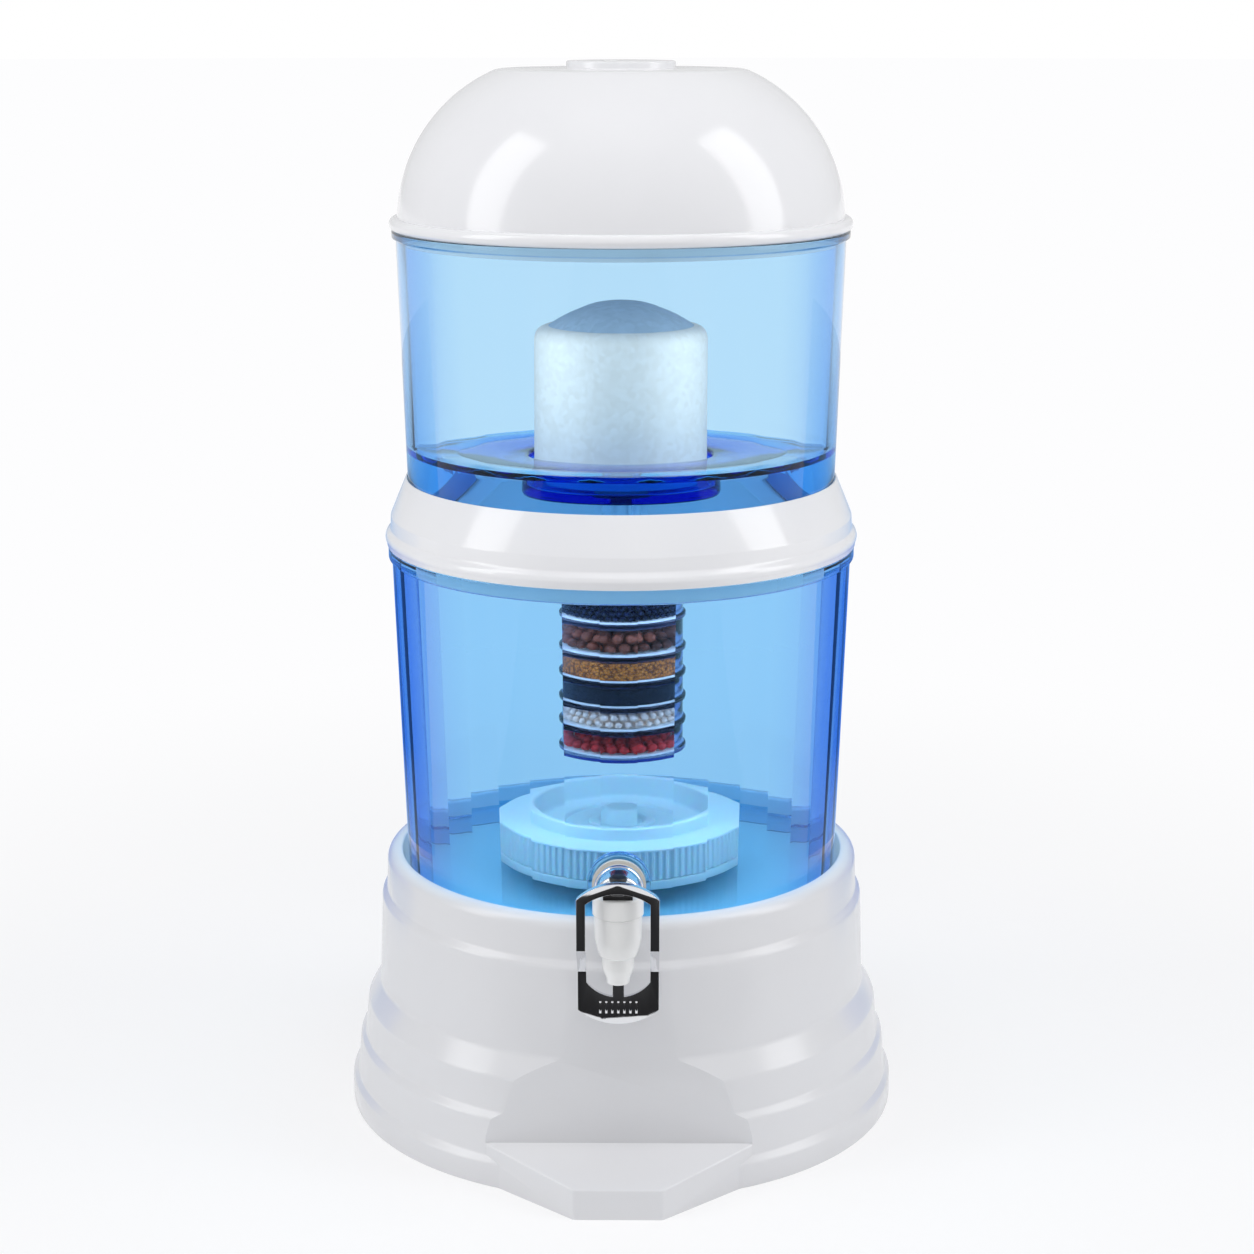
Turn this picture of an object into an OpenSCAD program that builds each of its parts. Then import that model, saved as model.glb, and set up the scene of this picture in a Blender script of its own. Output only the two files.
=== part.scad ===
// Gravity water filter with tap.
// A lower storage tank stands in a stepped base. A white collar on its rim
// carries an upper tank, a ceramic dome filter stands in the upper tank, and a
// stacked mineral cartridge hangs from it into the lower tank.
// Millimetres, +Z up, front towards -Y, origin on the tanks' axis at the floor.

/* [Base] */
// Radius of the foot, where the base stands on the floor
foot_r = 160; // [158.5:0.5:165]
// Height of the foot band
foot_h = 13.5; // [11:0.5:15]
// Radius of the lower tier at its foot
lower_tier_r = 156.9; // [156:0.1:158]
// Radius of the middle tier at its foot
middle_tier_r = 151.9; // [150:0.1:153]
// Radius of the upper tier at its foot
upper_tier_r = 142.4; // [141.6:0.1:143.2]
// Radius of the band under the rim
rim_r = 137.6; // [136.5:0.1:138.2]
// How far each tier narrows towards its top
tier_draft = 2; // [1:0.1:2.5]
// Height of the top of the lower tier
lower_tier_top = 37.5; // [34:0.5:40]
// Height of the top of the middle tier
middle_tier_top = 60.5; // [57:0.5:64]
// Height of the top of the upper tier
upper_tier_top = 125; // [120:0.5:127]
// Height of the slope from the middle tier up to the upper tier
shoulder_rise = 12.5; // [9:0.5:15]
// Height of each small ledge between two bands
ledge_rise = 3.5; // [2:0.5:5]
// Height of the rim above the floor
base_h = 151.5; // [148:0.5:156]
// Wall of the base
base_wall = 3; // [2:0.5:4]
// Depth of the well that the lower tank stands in
well_depth = 20; // [14:0.5:24]
// Radial gap round the lower tank at the bottom of the well
well_gap = 1; // [0.5:0.1:2]
// How far the well opens out towards the rim
well_draft = 3; // [1:0.5:4]
// Ribs under the deck
rib_count = 8; // [4:1:16]
// Depth of a rib under the deck
rib_h = 16; // [8:1:24]
// Thickness of a rib
rib_t = 2.5; // [1.5:0.5:4]
// Radius of the hub where the ribs meet
rib_hub_r = 20; // [12:1:30]

/* [Cup step] */
// Distance from the axis to the flat front wall above the step
niche_y = 139; // [137.5:0.5:141]
// How far the front wall leans out from the step to the upper tier
niche_lean = 1; // [0.6:0.1:1.6]
// How far the step reaches in front of the axis
step_reach = 182.7; // [176:0.1:190]
// Width of the step at the wall
step_back_w = 146; // [140:1:148]
// Width of the step at its front edge
step_front_w = 47.8; // [36:0.2:70]
// Height of the step at the wall
step_back_h = 23.2; // [21:0.1:26]
// Height of the step at its front edge
step_front_h = 17; // [15:0.1:20]

/* [Lower tank] */
// Outer radius at the bottom of the lower tank
lower_r_bottom = 124.1; // [122:0.1:126]
// Outer radius under the flange of the lower tank
lower_r_top = 130.5; // [129:0.1:132]
// Height of the lower tank
lower_h = 201; // [190:1:215]
// Flat facets inside the lower tank
facet_count = 40; // [32:2:48]
// Wall of both tanks
tank_wall = 3.2; // [2.5:0.1:4]
// Thickness of both tanks' floors
tank_floor_t = 3.5; // [2.5:0.1:5]
// Skirt below the lower tank's floor
lower_skirt_h = 10; // [6:0.5:14]
// How far the lower tank's flange stands out from its wall
lower_flange_out = 2; // [1:0.1:3]
// Height of the lower tank's flange
lower_flange_h = 8; // [5:0.5:12]
// Radius of the corner between wall and floor
floor_round_r = 6; // [3:0.5:9]

/* [Collar] */
// Height of the collar above the lower tank's rim
collar_h = 38; // [34:0.5:44]
// Outer radius of the collar's bead
bead_r = 134; // [133:0.1:136]
// Outer radius of the band above the bead
band_r = 130.8; // [130:0.1:132]
// Wall of the collar
collar_wall = 3; // [2:0.1:4]
// Depth of the spigot inside the lower tank
spigot_depth = 7.5; // [6:0.5:12]
// Depth of the seat that holds the upper tank
seat_depth = 4.5; // [3:0.5:6]
// Width of the ledge that the upper tank stands on
seat_w = 6.5; // [5:0.5:9]
// Radial gap between parts that drop into each other
drop_gap = 0.4; // [0.3:0.05:0.8]

/* [Upper tank] */
// Outer radius at the bottom of the upper tank
upper_r_bottom = 120.7; // [119:0.1:121.2]
// Outer radius under the flange of the upper tank
upper_r_top = 124.9; // [123:0.1:126]
// Height of the upper tank
upper_h = 142.8; // [130:0.1:155]
// Height of the upper tank's flange
upper_flange_h = 5; // [4:0.5:8]
// How far the upper tank's flange stands out from its wall
upper_flange_out = 2.3; // [1:0.1:3]
// Height of the floor's top above the upper tank's foot
upper_floor_up = 24.2; // [20:0.1:30]
// Radius of the shallow dish in the upper floor
dish_r = 88; // [75:1:95]
// Depth of the shallow dish
dish_depth = 1; // [0.5:0.5:7]
// Radius of the well that the ceramic filter stands in
filter_well_r = 52.5; // [50.5:0.5:56]
// Depth of that well below the dish
filter_well_depth = 16; // [13:0.5:18]

/* [Lid] */
// Height of the lid above the upper tank's rim, up to the disc
lid_h = 86.7; // [80:0.1:100]
// Outer radius of the bead round the lid
lid_bead_r = 128.5; // [127.5:0.1:131]
// Height of the bead
lid_bead_h = 7; // [5:0.5:8]
// Outer radius of the lid's side wall at the bead
lid_side_r = 124.5; // [123:0.1:126]
// How far the side wall leans in before the shoulder starts
lid_side_draft = 0.5; // [0.2:0.1:2]
// Radius of the big rounded shoulder
shoulder_r = 90.1; // [84:0.1:96]
// Radius of the flat top
lid_flat_r = 68; // [62:0.5:74]
// Wall of the lid
lid_wall = 2.5; // [2:0.1:4]
// Radius of the low disc on top
disc_r = 30; // [22:0.5:38]
// Height of the low disc
disc_h = 4.2; // [2:0.1:6]
// Radius of the small dimple in the disc
dimple_r = 4.5; // [2:0.5:7]
// Depth of the lip that drops into the upper tank
lid_lip_depth = 7; // [4:0.5:10]

/* [Ceramic filter] */
// Radius of the ceramic dome
dome_r = 48.2; // [45:0.1:49.5]
// Height of the ceramic dome's straight wall with its rounded shoulder
dome_side_h = 78; // [65:1:90]
// Radius of the rounded shoulder
dome_round_r = 8; // [5:0.5:11]
// Rise of the spherical cap above the shoulder
dome_cap_rise = 12.6; // [8:0.1:18]
// Ceramic wall
dome_wall = 8; // [5:0.5:11]
// Radius of the carbon core inside the dome
core_r = 33; // [26:0.5:37]
// Thickness of the plastic base plate of the ceramic filter
filter_base_t = 4; // [3:0.5:6]
// Radius of the hollow threaded stem
filter_stem_r = 6; // [5:0.5:8]
// Radius of the bore in the stem
filter_stem_bore = 3; // [2:0.5:4]
// Thickness of the sealing washers
seal_t = 1.5; // [1:0.1:2.5]
// Height of the stem's nut
stem_nut_h = 8; // [6:0.5:10]

/* [Mineral cartridge] */
// Height of the cartridge's bottom above the lower tank's foot
cartridge_up = 78.4; // [72:0.1:84]
// Radius of the clear cups
cup_r = 37; // [34:0.1:40]
// Wall of a cup
cup_wall = 3.4; // [2:0.1:4.5]
// How far a cup's ring stands out
cup_ring_out = 1.3; // [0.8:0.1:2]
// Height of a cup's ring
cup_ring_h = 2.9; // [2:0.1:4]
// Floor of a cup
cup_floor_t = 2; // [1.5:0.1:2.5]
// Thickness of the felt pad on each cup's floor
pad_t = 1; // [0.6:0.1:1.5]
// Height of the cup with red balls
red_cup_h = 15.5; // [14:0.1:19]
// Height of the cup with white balls
white_cup_h = 13.8; // [13.5:0.1:18]
// Height of the cup with black carbon
carbon_cup_h = 14.6; // [12:0.1:18]
// Height of the cup with tan grains
grain_cup_h = 14.8; // [12:0.1:18]
// Height of the cup with brown pebbles
pebble_cup_h = 18.9; // [17:0.1:22]
// Height of the cup with dark balls
dark_cup_h = 18.9; // [15:0.1:22]

/* [Stone case] */
// Radius of the stone case
case_r = 69.7; // [64:0.1:74]
// Height of the plain band at the bottom of the case
case_band_h = 5.6; // [4:0.1:8]
// Height of the case up to its flat shoulder
case_h = 24; // [22:0.5:28]
// Ribs round the case's lid
case_rib_count = 120; // [60:4:160]
// Depth of the grooves between the ribs
case_groove = 0.9; // [0.5:0.1:1.5]
// Wall of the case
case_wall = 2; // [1.5:0.1:3]
// Outer radius of the raised ring
case_ring_r = 53; // [46:0.5:56]
// Height of the raised ring above the shoulder
case_ring_h = 7; // [4:0.5:10]
// Diameter of a mineral stone
stone_d = 11; // [8:0.5:12]

/* [Tap] */
// Height of the tap's shank above the lower tank's foot
shank_up = 37.5; // [36:0.1:42]
// Distance from the tanks' axis to the tap's upright axis
tap_out = 168; // [166:0.5:172]
// Radius of the threaded shank
shank_r = 8; // [7:0.1:9]
// Radius of the flat pad on the tank that the tap seats on
tap_pad_r = 17; // [15:0.5:18]
// Radius of the chrome sleeve
sleeve_r = 13.4; // [12:0.1:15]
// Radius of the valve body
valve_r = 12.4; // [11.5:0.1:13.5]
// Radius of the screwed bonnet
bonnet_r = 13.5; // [13:0.1:14.5]
// Height of the bonnet
bonnet_h = 11; // [9:0.5:13]
// Radius of the spout's tip
spout_r = 6; // [5.6:0.1:7]
// Length of the valve body below the bonnet, down to the spout's tip
valve_drop = 38.2; // [36:0.1:42]
// Width of the lever frame
lever_w = 43.2; // [40:0.2:48]
// Width of a lever bar
lever_bar_w = 4.7; // [3.5:0.1:6]
// Depth of a lever bar
lever_t = 4; // [3:0.1:5]
// Thickness of the lever's push pad
lever_pad_t = 2.4; // [1.8:0.1:3.2]
// Length of the lever from its pivot to the bottom of the pad
lever_reach = 81.7; // [76:0.1:84]
// Distance from the pivot to the valve stem
lever_arm = 8; // [7:0.1:9]
// Radius of the valve stem
stem_r = 2; // [1.5:0.1:2.5]
// Radius of the pivot pin
pin_r = 1.2; // [0.9:0.1:1.5]
// Running gap round the stem and the pivot pin
running_gap = 0.06; // [0.03:0.01:0.09]
// Wire radius of the return spring
wire_r = 0.45; // [0.3:0.05:0.6]
// Turns of the return spring
spring_turns = 5; // [4:1:6]

/* [Hidden] */

$fn = 96;
e = 1;                     // how far a cutter runs past the face it cuts
soft_gap = 0.3;            // gap between pieces that only rest near each other
hair = 0.02;               // air left between two faces that touch
deg = 180 / PI;

// ---- heights and radii that follow from the sizes above ----
deck_z = base_h - well_depth;
lower_foot_z = deck_z;
lower_floor_z = lower_foot_z + lower_skirt_h + tank_floor_t;
lower_top_z = lower_foot_z + lower_h;
collar_top_z = lower_top_z + collar_h;
seat_z = collar_top_z - seat_depth;
upper_top_z = seat_z + upper_h;
upper_floor_z = seat_z + upper_floor_up;
dish_z = upper_floor_z - dish_depth;
filter_well_z = dish_z - filter_well_depth;
lid_flat_z = upper_top_z + lid_h;

// Outer radius of each tank at a height, on its straight drafted wall
function lower_r(z) =
    lower_r_bottom + (lower_r_top - lower_r_bottom) * (z - lower_foot_z) / (lower_h - lower_flange_h);
function upper_r(z) =
    upper_r_bottom + (upper_r_top - upper_r_bottom) * (z - seat_z) / (upper_h - upper_flange_h);

// Points of an arc in the profile plane
function arc(cx, cz, r, a0, a1, n = 10) =
    [for (i = [0:n]) [cx + r * cos(a0 + (a1 - a0) * i / n), cz + r * sin(a0 + (a1 - a0) * i / n)]];

// Cylinder lying along Y, from y0 to y1
module rod_y(r, y0, y1, x = 0, z = 0) {
    translate([x, y0, z]) rotate([-90, 0, 0]) cylinder(r = r, h = y1 - y0);
}

// Cylinder lying along X, centred on x = 0
module rod_x(r, w, y, z) {
    translate([-w / 2, y, z]) rotate([0, 90, 0]) cylinder(r = r, h = w);
}

// ---- base ----
shoulder_z = middle_tier_top + shoulder_rise;
rim_round = 6.5;
rim_top_draft = 1;
well_r = lower_r_bottom + well_gap;
well_top_r = well_r + well_draft;
channel_top_z = base_h - base_wall - 1;

// Tiers of the base from the floor to the underside of the rim, moved in by t
function tiers(t) = [
    [foot_r - t, 0],
    [foot_r - t, foot_h - t],
    [lower_tier_r - t, foot_h + ledge_rise - t],
    [lower_tier_r - tier_draft - t, lower_tier_top - t],
    [middle_tier_r - t, lower_tier_top + ledge_rise - t],
    [middle_tier_r - tier_draft - t, middle_tier_top - t],
    [upper_tier_r - t, shoulder_z - t],
    [upper_tier_r - tier_draft - t, upper_tier_top - t],
    [rim_r - t, upper_tier_top + ledge_rise - t]
];

// Top of the front wall's plane, which meets the upper tier there
niche_top_z = upper_tier_top;
niche_top_y = upper_tier_r - tier_draft;
function niche_at(z) = niche_top_y - niche_lean * (niche_top_z - z) / (niche_top_z - shoulder_z)
    - (niche_top_y - niche_lean - niche_y) * (niche_top_z - z) / (niche_top_z - shoulder_z);

module base_outer() {
    rotate_extrude() polygon(concat(
        tiers(0),
        [[rim_r - rim_top_draft, base_h - rim_round]],
        arc(rim_r - rim_top_draft - rim_round, base_h - rim_round, rim_round, 15, 90, 6),
        [[0, base_h], [0, 0]]
    ));
}

module base_hollow() {
    inner = tiers(base_wall);
    difference() {
        union() {
            rotate_extrude() polygon(concat(
                [[0, -e], [inner[0][0], -e]],
                [for (i = [1:len(inner) - 1]) inner[i]],
                [[rim_r - base_wall - rim_top_draft, channel_top_z],
                 [well_top_r + base_wall, channel_top_z],
                 [well_r + base_wall, deck_z - base_wall],
                 [0, deck_z - base_wall]]
            ));
        }
        rib_set();
    }
}

module rib_set() {
    rib_z = deck_z - base_wall - rib_h;
    translate([0, 0, rib_z]) difference() {
        cylinder(r = rib_hub_r, h = rib_h + e);
        translate([0, 0, -e]) cylinder(r = rib_hub_r - rib_t, h = rib_h + 3 * e);
    }
    for (i = [0:rib_count - 1]) rotate([0, 0, (i + 0.5) * 360 / rib_count])
        translate([rib_hub_r - rib_t / 2, -rib_t / 2, rib_z])
            cube([upper_tier_r - base_wall - rib_hub_r, rib_t, rib_h + e]);
}

// The cup step's outline in plan, moved in by t
module step_plan(t, back) {
    half_b = step_back_w / 2;
    half_f = step_front_w / 2;
    run = step_reach - niche_y;
    lean = (half_b - half_f) / run;
    side = t * sqrt(1 + lean * lean);
    polygon([
        [-half_b + side, -niche_y], [-half_f + side - t * lean, -step_reach + t],
        [half_f - side + t * lean, -step_reach + t], [half_b - side, -niche_y],
        [half_b - side, -back], [-half_b + side, -back]
    ]);
}

// Block under the step's sloping top, moved in by t
module step_block(t, back, bottom = 0) {
    slope = (step_back_h - step_front_h) / (step_reach - niche_y);
    rise = t * sqrt(1 + slope * slope);
    top_at_back = step_back_h - rise + slope * (niche_y - back);
    top_at_front = step_front_h - rise;
    intersection() {
        translate([0, 0, bottom]) linear_extrude(height = step_back_h * 2) step_plan(t, back);
        rotate([90, 0, 90]) translate([0, 0, -step_back_w / 2]) linear_extrude(height = step_back_w)
            polygon([[-step_reach, bottom], [-back, bottom], [-back, top_at_back], [-step_reach, top_at_front]]);
    }
}

// Everything in front of the flat wall and above the foot, moved in by t
module niche_space(t) {
    front = foot_r + 2 * e;
    floor_z = foot_h + ledge_rise - t;
    rotate([90, 0, 90]) translate([0, 0, -step_back_w / 2]) linear_extrude(height = step_back_w)
        polygon([
            [-niche_at(floor_z) + t, floor_z], [-niche_at(niche_top_z) + t, niche_top_z],
            [-front, niche_top_z], [-front, floor_z]
        ]);
}

module base_stand() {
    color("#dcdcde") difference() {
        union() {
            difference() {
                base_outer();
                base_hollow();
                translate([0, 0, deck_z])
                    cylinder(r1 = well_r, r2 = well_top_r, h = well_depth + 0.01);
                niche_space(0);
            }
            difference() {
                intersection() {
                    base_outer();
                    niche_space(base_wall);
                }
                niche_space(0);
            }
            step_block(0, niche_y - base_wall);
        }
        step_block(base_wall, niche_y - base_wall - e, -e);
    }
}

// ---- lower tank ----
tap_z = lower_foot_z + shank_up;
tap_pad_front = lower_r(tap_z) + 1.8;
tap_pad_back = lower_r(tap_z) - tank_wall - 2.6;
shank_fit = 0.2;

// Space inside the lower tank: two opposite flats are the sides of one tapered slab
module lower_inside() {
    z0 = lower_floor_z;
    z1 = lower_top_z + e;
    r0 = lower_r(z0) - tank_wall;
    r1 = lower_r(z1) - tank_wall;
    intersection_for(i = [0:facet_count / 2 - 1]) rotate([0, 0, i * 360 / facet_count])
        rotate([90, 0, 0]) linear_extrude(height = 4 * r1, center = true)
            polygon([[-r0, z0], [r0, z0], [r1, z1], [-r1, z1]]);
}

module lower_tank() {
    flange_r = lower_r_top + lower_flange_out;
    flange_z = lower_top_z - lower_flange_h;
    color("#3f96ee") difference() {
        union() {
            difference() {
                rotate_extrude($fn = 360) polygon([
                    [0, lower_foot_z], [lower_r_bottom, lower_foot_z], [lower_r_top, flange_z],
                    [flange_r, flange_z + lower_flange_out / 2], [flange_r, lower_top_z], [0, lower_top_z]
                ]);
                lower_inside();
                translate([0, 0, lower_foot_z - e])
                    cylinder(r = lower_r_bottom - tank_wall, h = lower_skirt_h + e);
            }
            rod_y(tap_pad_r, -tap_pad_front, -tap_pad_back, 0, tap_z);
            corner_fillet();
        }
        rod_y(shank_r + shank_fit, -tap_pad_front - e, -tap_pad_back + e, 0, tap_z);
    }
}

// Rounded corner between the tank's wall and floor
module corner_fillet() {
    wall_r = lower_r(lower_floor_z) - tank_wall / 2;
    flat_r = lower_r(lower_floor_z) - tank_wall;
    rotate_extrude() polygon(concat(
        [[wall_r, lower_floor_z - tank_floor_t / 2], [flat_r - floor_round_r, lower_floor_z - tank_floor_t / 2]],
        arc(flat_r - floor_round_r, lower_floor_z + floor_round_r, floor_round_r, -90, -8, 8),
        [[wall_r, lower_floor_z + floor_round_r * 0.86]]
    ));
}

// ---- collar ----
module collar() {
    mouth_r = lower_r(lower_top_z) - tank_wall;
    spigot_r = lower_r(lower_top_z - spigot_depth) - tank_wall - drop_gap;
    seat_r = upper_r(collar_top_z) + drop_gap;
    lip_r = seat_r + 0.8;
    hole_r = upper_r_bottom - seat_w;
    bead_half = 4;
    bead_mid = lower_top_z + bead_half + 0.6;
    band_low = bead_mid + bead_half + 0.9;
    band_top = band_low + 7.3;
    color("#f1f1f4") rotate_extrude() polygon(concat(
        [[spigot_r - collar_wall, lower_top_z - spigot_depth], [spigot_r, lower_top_z - spigot_depth],
         [spigot_r, lower_top_z], [bead_r - 0.9, lower_top_z]],
        arc(bead_r - bead_half, bead_mid, bead_half, -35, 60, 8),
        [[band_r + 0.3, band_low], [band_r, band_top], [lip_r, collar_top_z], [seat_r, collar_top_z],
         [seat_r, seat_z], [hole_r, seat_z], [hole_r, seat_z - collar_wall],
         [seat_r, seat_z - collar_wall], [band_r - collar_wall, band_top - collar_wall / 2],
         [band_r - collar_wall, band_low - collar_wall], [spigot_r - collar_wall, lower_top_z + collar_wall]]
    ));
}

// ---- upper tank ----
module upper_tank() {
    flange_r = upper_r_top + upper_flange_out;
    flange_z = upper_top_z - upper_flange_h;
    under = upper_floor_z - tank_floor_t;
    under_dish = dish_z - tank_floor_t;
    under_well = filter_well_z - tank_floor_t;
    color("#8fd0ff") rotate_extrude() polygon([
        [upper_r_bottom - tank_wall, seat_z], [upper_r_bottom, seat_z],
        [upper_r_top, flange_z], [flange_r, flange_z + upper_flange_out / 2],
        [flange_r, upper_top_z], [upper_r(upper_top_z) - tank_wall, upper_top_z],
        [upper_r(upper_floor_z + 4) - tank_wall, upper_floor_z + 4],
        [upper_r(upper_floor_z) - tank_wall - 4, upper_floor_z],
        [dish_r + dish_depth, upper_floor_z], [dish_r, dish_z],
        [filter_well_r + 1.5, dish_z], [filter_well_r, dish_z - 1.5],
        [filter_well_r, filter_well_z], [filter_stem_r + shank_fit, filter_well_z],
        [filter_stem_r + shank_fit, under_well], [filter_well_r + tank_floor_t, under_well],
        [filter_well_r + tank_floor_t, under_dish], [dish_r + tank_floor_t, under_dish],
        [dish_r + dish_depth + tank_floor_t, under], [upper_r(under) - tank_wall - 1, under],
        [upper_r(under - 2) - tank_wall, under - 2]
    ]);
}

// ---- lid ----
// Outer outline of the lid above its bead, moved in by t
module lid_outline(t) {
    arc_r = lid_side_r - lid_side_draft - shoulder_r;
    end_a = acos((lid_flat_r - arc_r) / shoulder_r);
    arc_z = lid_flat_z - shoulder_r * sin(end_a);
    polygon(concat(
        [[0, upper_top_z - lid_lip_depth - e], [lid_side_r - t, upper_top_z - lid_lip_depth - e]],
        arc(arc_r, arc_z, shoulder_r - t, 0, end_a, 24),
        [[0, arc_z + (shoulder_r - t) * sin(end_a)]]
    ));
}

module lid() {
    lip_r = upper_r(upper_top_z - lid_lip_depth) - tank_wall - drop_gap;
    lip_in_r = lip_r - lid_wall;
    bead_z = upper_top_z + lid_bead_h / 2;
    color("#f4f4f6") difference() {
        union() {
            rotate_extrude() difference() {
                union() {
                    lid_outline(0);
                    translate([0, upper_top_z]) square([lid_bead_r - lid_bead_h / 2, lid_bead_h]);
                    translate([lid_bead_r - lid_bead_h / 2, bead_z]) circle(r = lid_bead_h / 2, $fn = 40);
                }
                lid_outline(lid_wall);
                translate([lip_r, upper_top_z - lid_lip_depth - 2 * e])
                    square([lid_bead_r, lid_lip_depth + 2 * e]);
                translate([0, upper_top_z - lid_lip_depth - 2 * e]) square([lip_in_r, lid_lip_depth + 3 * e]);
                translate([lip_in_r - 2 * lid_wall, upper_top_z - lid_lip_depth - 2 * e])
                    square([2 * lid_wall, 2 * e]);
            }
            rotate_extrude() polygon([
                [lip_in_r, upper_top_z - lid_lip_depth], [lip_r, upper_top_z - lid_lip_depth],
                [lip_r, upper_top_z], [lid_side_r, upper_top_z], [lid_side_r, upper_top_z + lid_wall],
                [lip_in_r, upper_top_z + lid_wall]
            ]);
            translate([0, 0, lid_flat_z - lid_wall]) rotate_extrude() polygon([
                [0, 0], [disc_r, 0], [disc_r, lid_wall + disc_h - 1], [disc_r - 1, lid_wall + disc_h],
                [0, lid_wall + disc_h]
            ]);
        }
        translate([-dimple_r - 1, -1, lid_flat_z + disc_h - 0.8]) cylinder(r = dimple_r, h = 2);
    }
}

// ---- ceramic filter ----
filter_plate_z = filter_well_z + seal_t;
dome_z = filter_plate_z + filter_base_t;
dome_shoulder_z = dome_z + dome_side_h;
cap_edge_r = dome_r - dome_round_r;
cap_ball_r = (cap_edge_r * cap_edge_r + dome_cap_rise * dome_cap_rise) / (2 * dome_cap_rise);
dome_top_z = dome_shoulder_z + dome_cap_rise;
spigot_in_dome_h = 8;

module ceramic_dome() {
    cap_a = asin(cap_edge_r / cap_ball_r);
    in_r = dome_r - dome_wall;
    in_top = dome_shoulder_z - dome_wall;
    color("#eef1f3") rotate_extrude() polygon(concat(
        [[in_r, dome_z], [dome_r, dome_z]],
        arc(cap_edge_r, dome_shoulder_z - dome_round_r, dome_round_r, 0, 90, 8),
        arc(0, dome_top_z - cap_ball_r, cap_ball_r, 90 - cap_a, 90, 10),
        [[0, in_top + dome_cap_rise / 2], [in_r - dome_round_r, in_top]],
        arc(in_r - dome_round_r, in_top - dome_round_r, dome_round_r, 80, 0, 6)
    ));
}

module carbon_core() {
    color("#26272a") translate([0, 0, dome_z + spigot_in_dome_h + soft_gap])
        cylinder(r = core_r, h = dome_side_h - dome_wall - spigot_in_dome_h - 2 * soft_gap - dome_round_r);
}

module ceramic_base() {
    plate_r = dome_r + 0.8;
    spigot_r = dome_r - dome_wall - drop_gap;
    color("#e6ebf0") difference() {
        rotate_extrude() polygon([
            [0, filter_plate_z], [plate_r - 1, filter_plate_z], [plate_r, filter_plate_z + 1],
            [plate_r, dome_z], [spigot_r, dome_z], [spigot_r, dome_z + spigot_in_dome_h],
            [0, dome_z + spigot_in_dome_h]
        ]);
        translate([0, 0, filter_plate_z - e])
            cylinder(r = filter_stem_r + hair, h = spigot_in_dome_h + filter_base_t + 2 * e);
    }
}

stem_washer_z = filter_well_z - tank_floor_t - seal_t;
stem_nut_z = stem_washer_z - stem_nut_h;
cap_neck_top = stem_nut_z - 1.5;
cap_neck_h = 14;
filter_stem_z = cap_neck_top - cap_neck_h + 3;

module ceramic_stem() {
    color("#e6ebf0") difference() {
        translate([0, 0, filter_stem_z])
            cylinder(r = filter_stem_r, h = dome_z + spigot_in_dome_h - filter_stem_z);
        translate([0, 0, filter_stem_z - e])
            cylinder(r = filter_stem_bore, h = dome_z + spigot_in_dome_h - filter_stem_z + 2 * e);
    }
}

// Flat ring with its hole round the stem
module stem_ring(r, z, h, hole_gap = 0.1) {
    translate([0, 0, z]) difference() {
        cylinder(r = r, h = h);
        translate([0, 0, -e]) cylinder(r = filter_stem_r + hole_gap, h = h + 2 * e);
    }
}

module ceramic_washer() {
    color("#d8d2c8") stem_ring(15, filter_well_z, seal_t);
}

module stem_washer() {
    color("#d8d2c8") stem_ring(14, stem_washer_z, seal_t);
}

module stem_nut() {
    color("#f1f1f4") translate([0, 0, stem_nut_z]) difference() {
        union() {
            cylinder(r = 11, h = stem_nut_h);
            for (i = [0:5]) rotate([0, 0, i * 60])
                translate([9, -1.5, 0]) cube([6, 3, stem_nut_h]);
        }
        translate([0, 0, -e]) cylinder(r = filter_stem_r + hair, h = stem_nut_h + 2 * e);
    }
}

// ---- mineral cartridge ----
cartridge_z = lower_foot_z + cartridge_up;
cup_heights = [red_cup_h, white_cup_h, carbon_cup_h, grain_cup_h, pebble_cup_h, dark_cup_h];
function cup_z(i) = i == 0 ? cartridge_z : cup_z(i - 1) + cup_heights[i - 1];
stack_top_z = cup_z(len(cup_heights));
cup_in_r = cup_r - cup_wall;
snap_h = 1.5;
slot_count = 6;

// A clear cup with its ring, its slotted floor and a spigot for the cup below
module cup(i) {
    z = cup_z(i);
    h = cup_heights[i];
    spigot_h = i == 0 ? 0 : snap_h;
    color("#9cc3f5") difference() {
        rotate_extrude() polygon([
            [0, z - spigot_h], [cup_in_r - 0.15, z - spigot_h], [cup_in_r - 0.15, z],
            [cup_r, z], [cup_r + cup_ring_out, z + 0.5], [cup_r + cup_ring_out, z + cup_ring_h - 0.5],
            [cup_r, z + cup_ring_h], [cup_r, z + h], [cup_in_r, z + h],
            [cup_in_r, z + cup_floor_t], [0, z + cup_floor_t]
        ]);
        for (k = [0:slot_count - 1]) rotate([0, 0, k * 360 / slot_count])
            translate([8, -0.8, z - spigot_h - e]) cube([18, 1.6, cup_floor_t + spigot_h + 2 * e]);
    }
}

bed_r = cup_in_r - soft_gap;
function bed_z(i) = cup_z(i) + cup_floor_t + pad_t + 0.05;
function bed_h(i) = cup_heights[i] - cup_floor_t - pad_t - snap_h - 0.4;

// A plain bed of grains that fills a cup
module grain_bed(i) {
    translate([0, 0, bed_z(i)]) cylinder(r = bed_r, h = bed_h(i));
}

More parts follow.
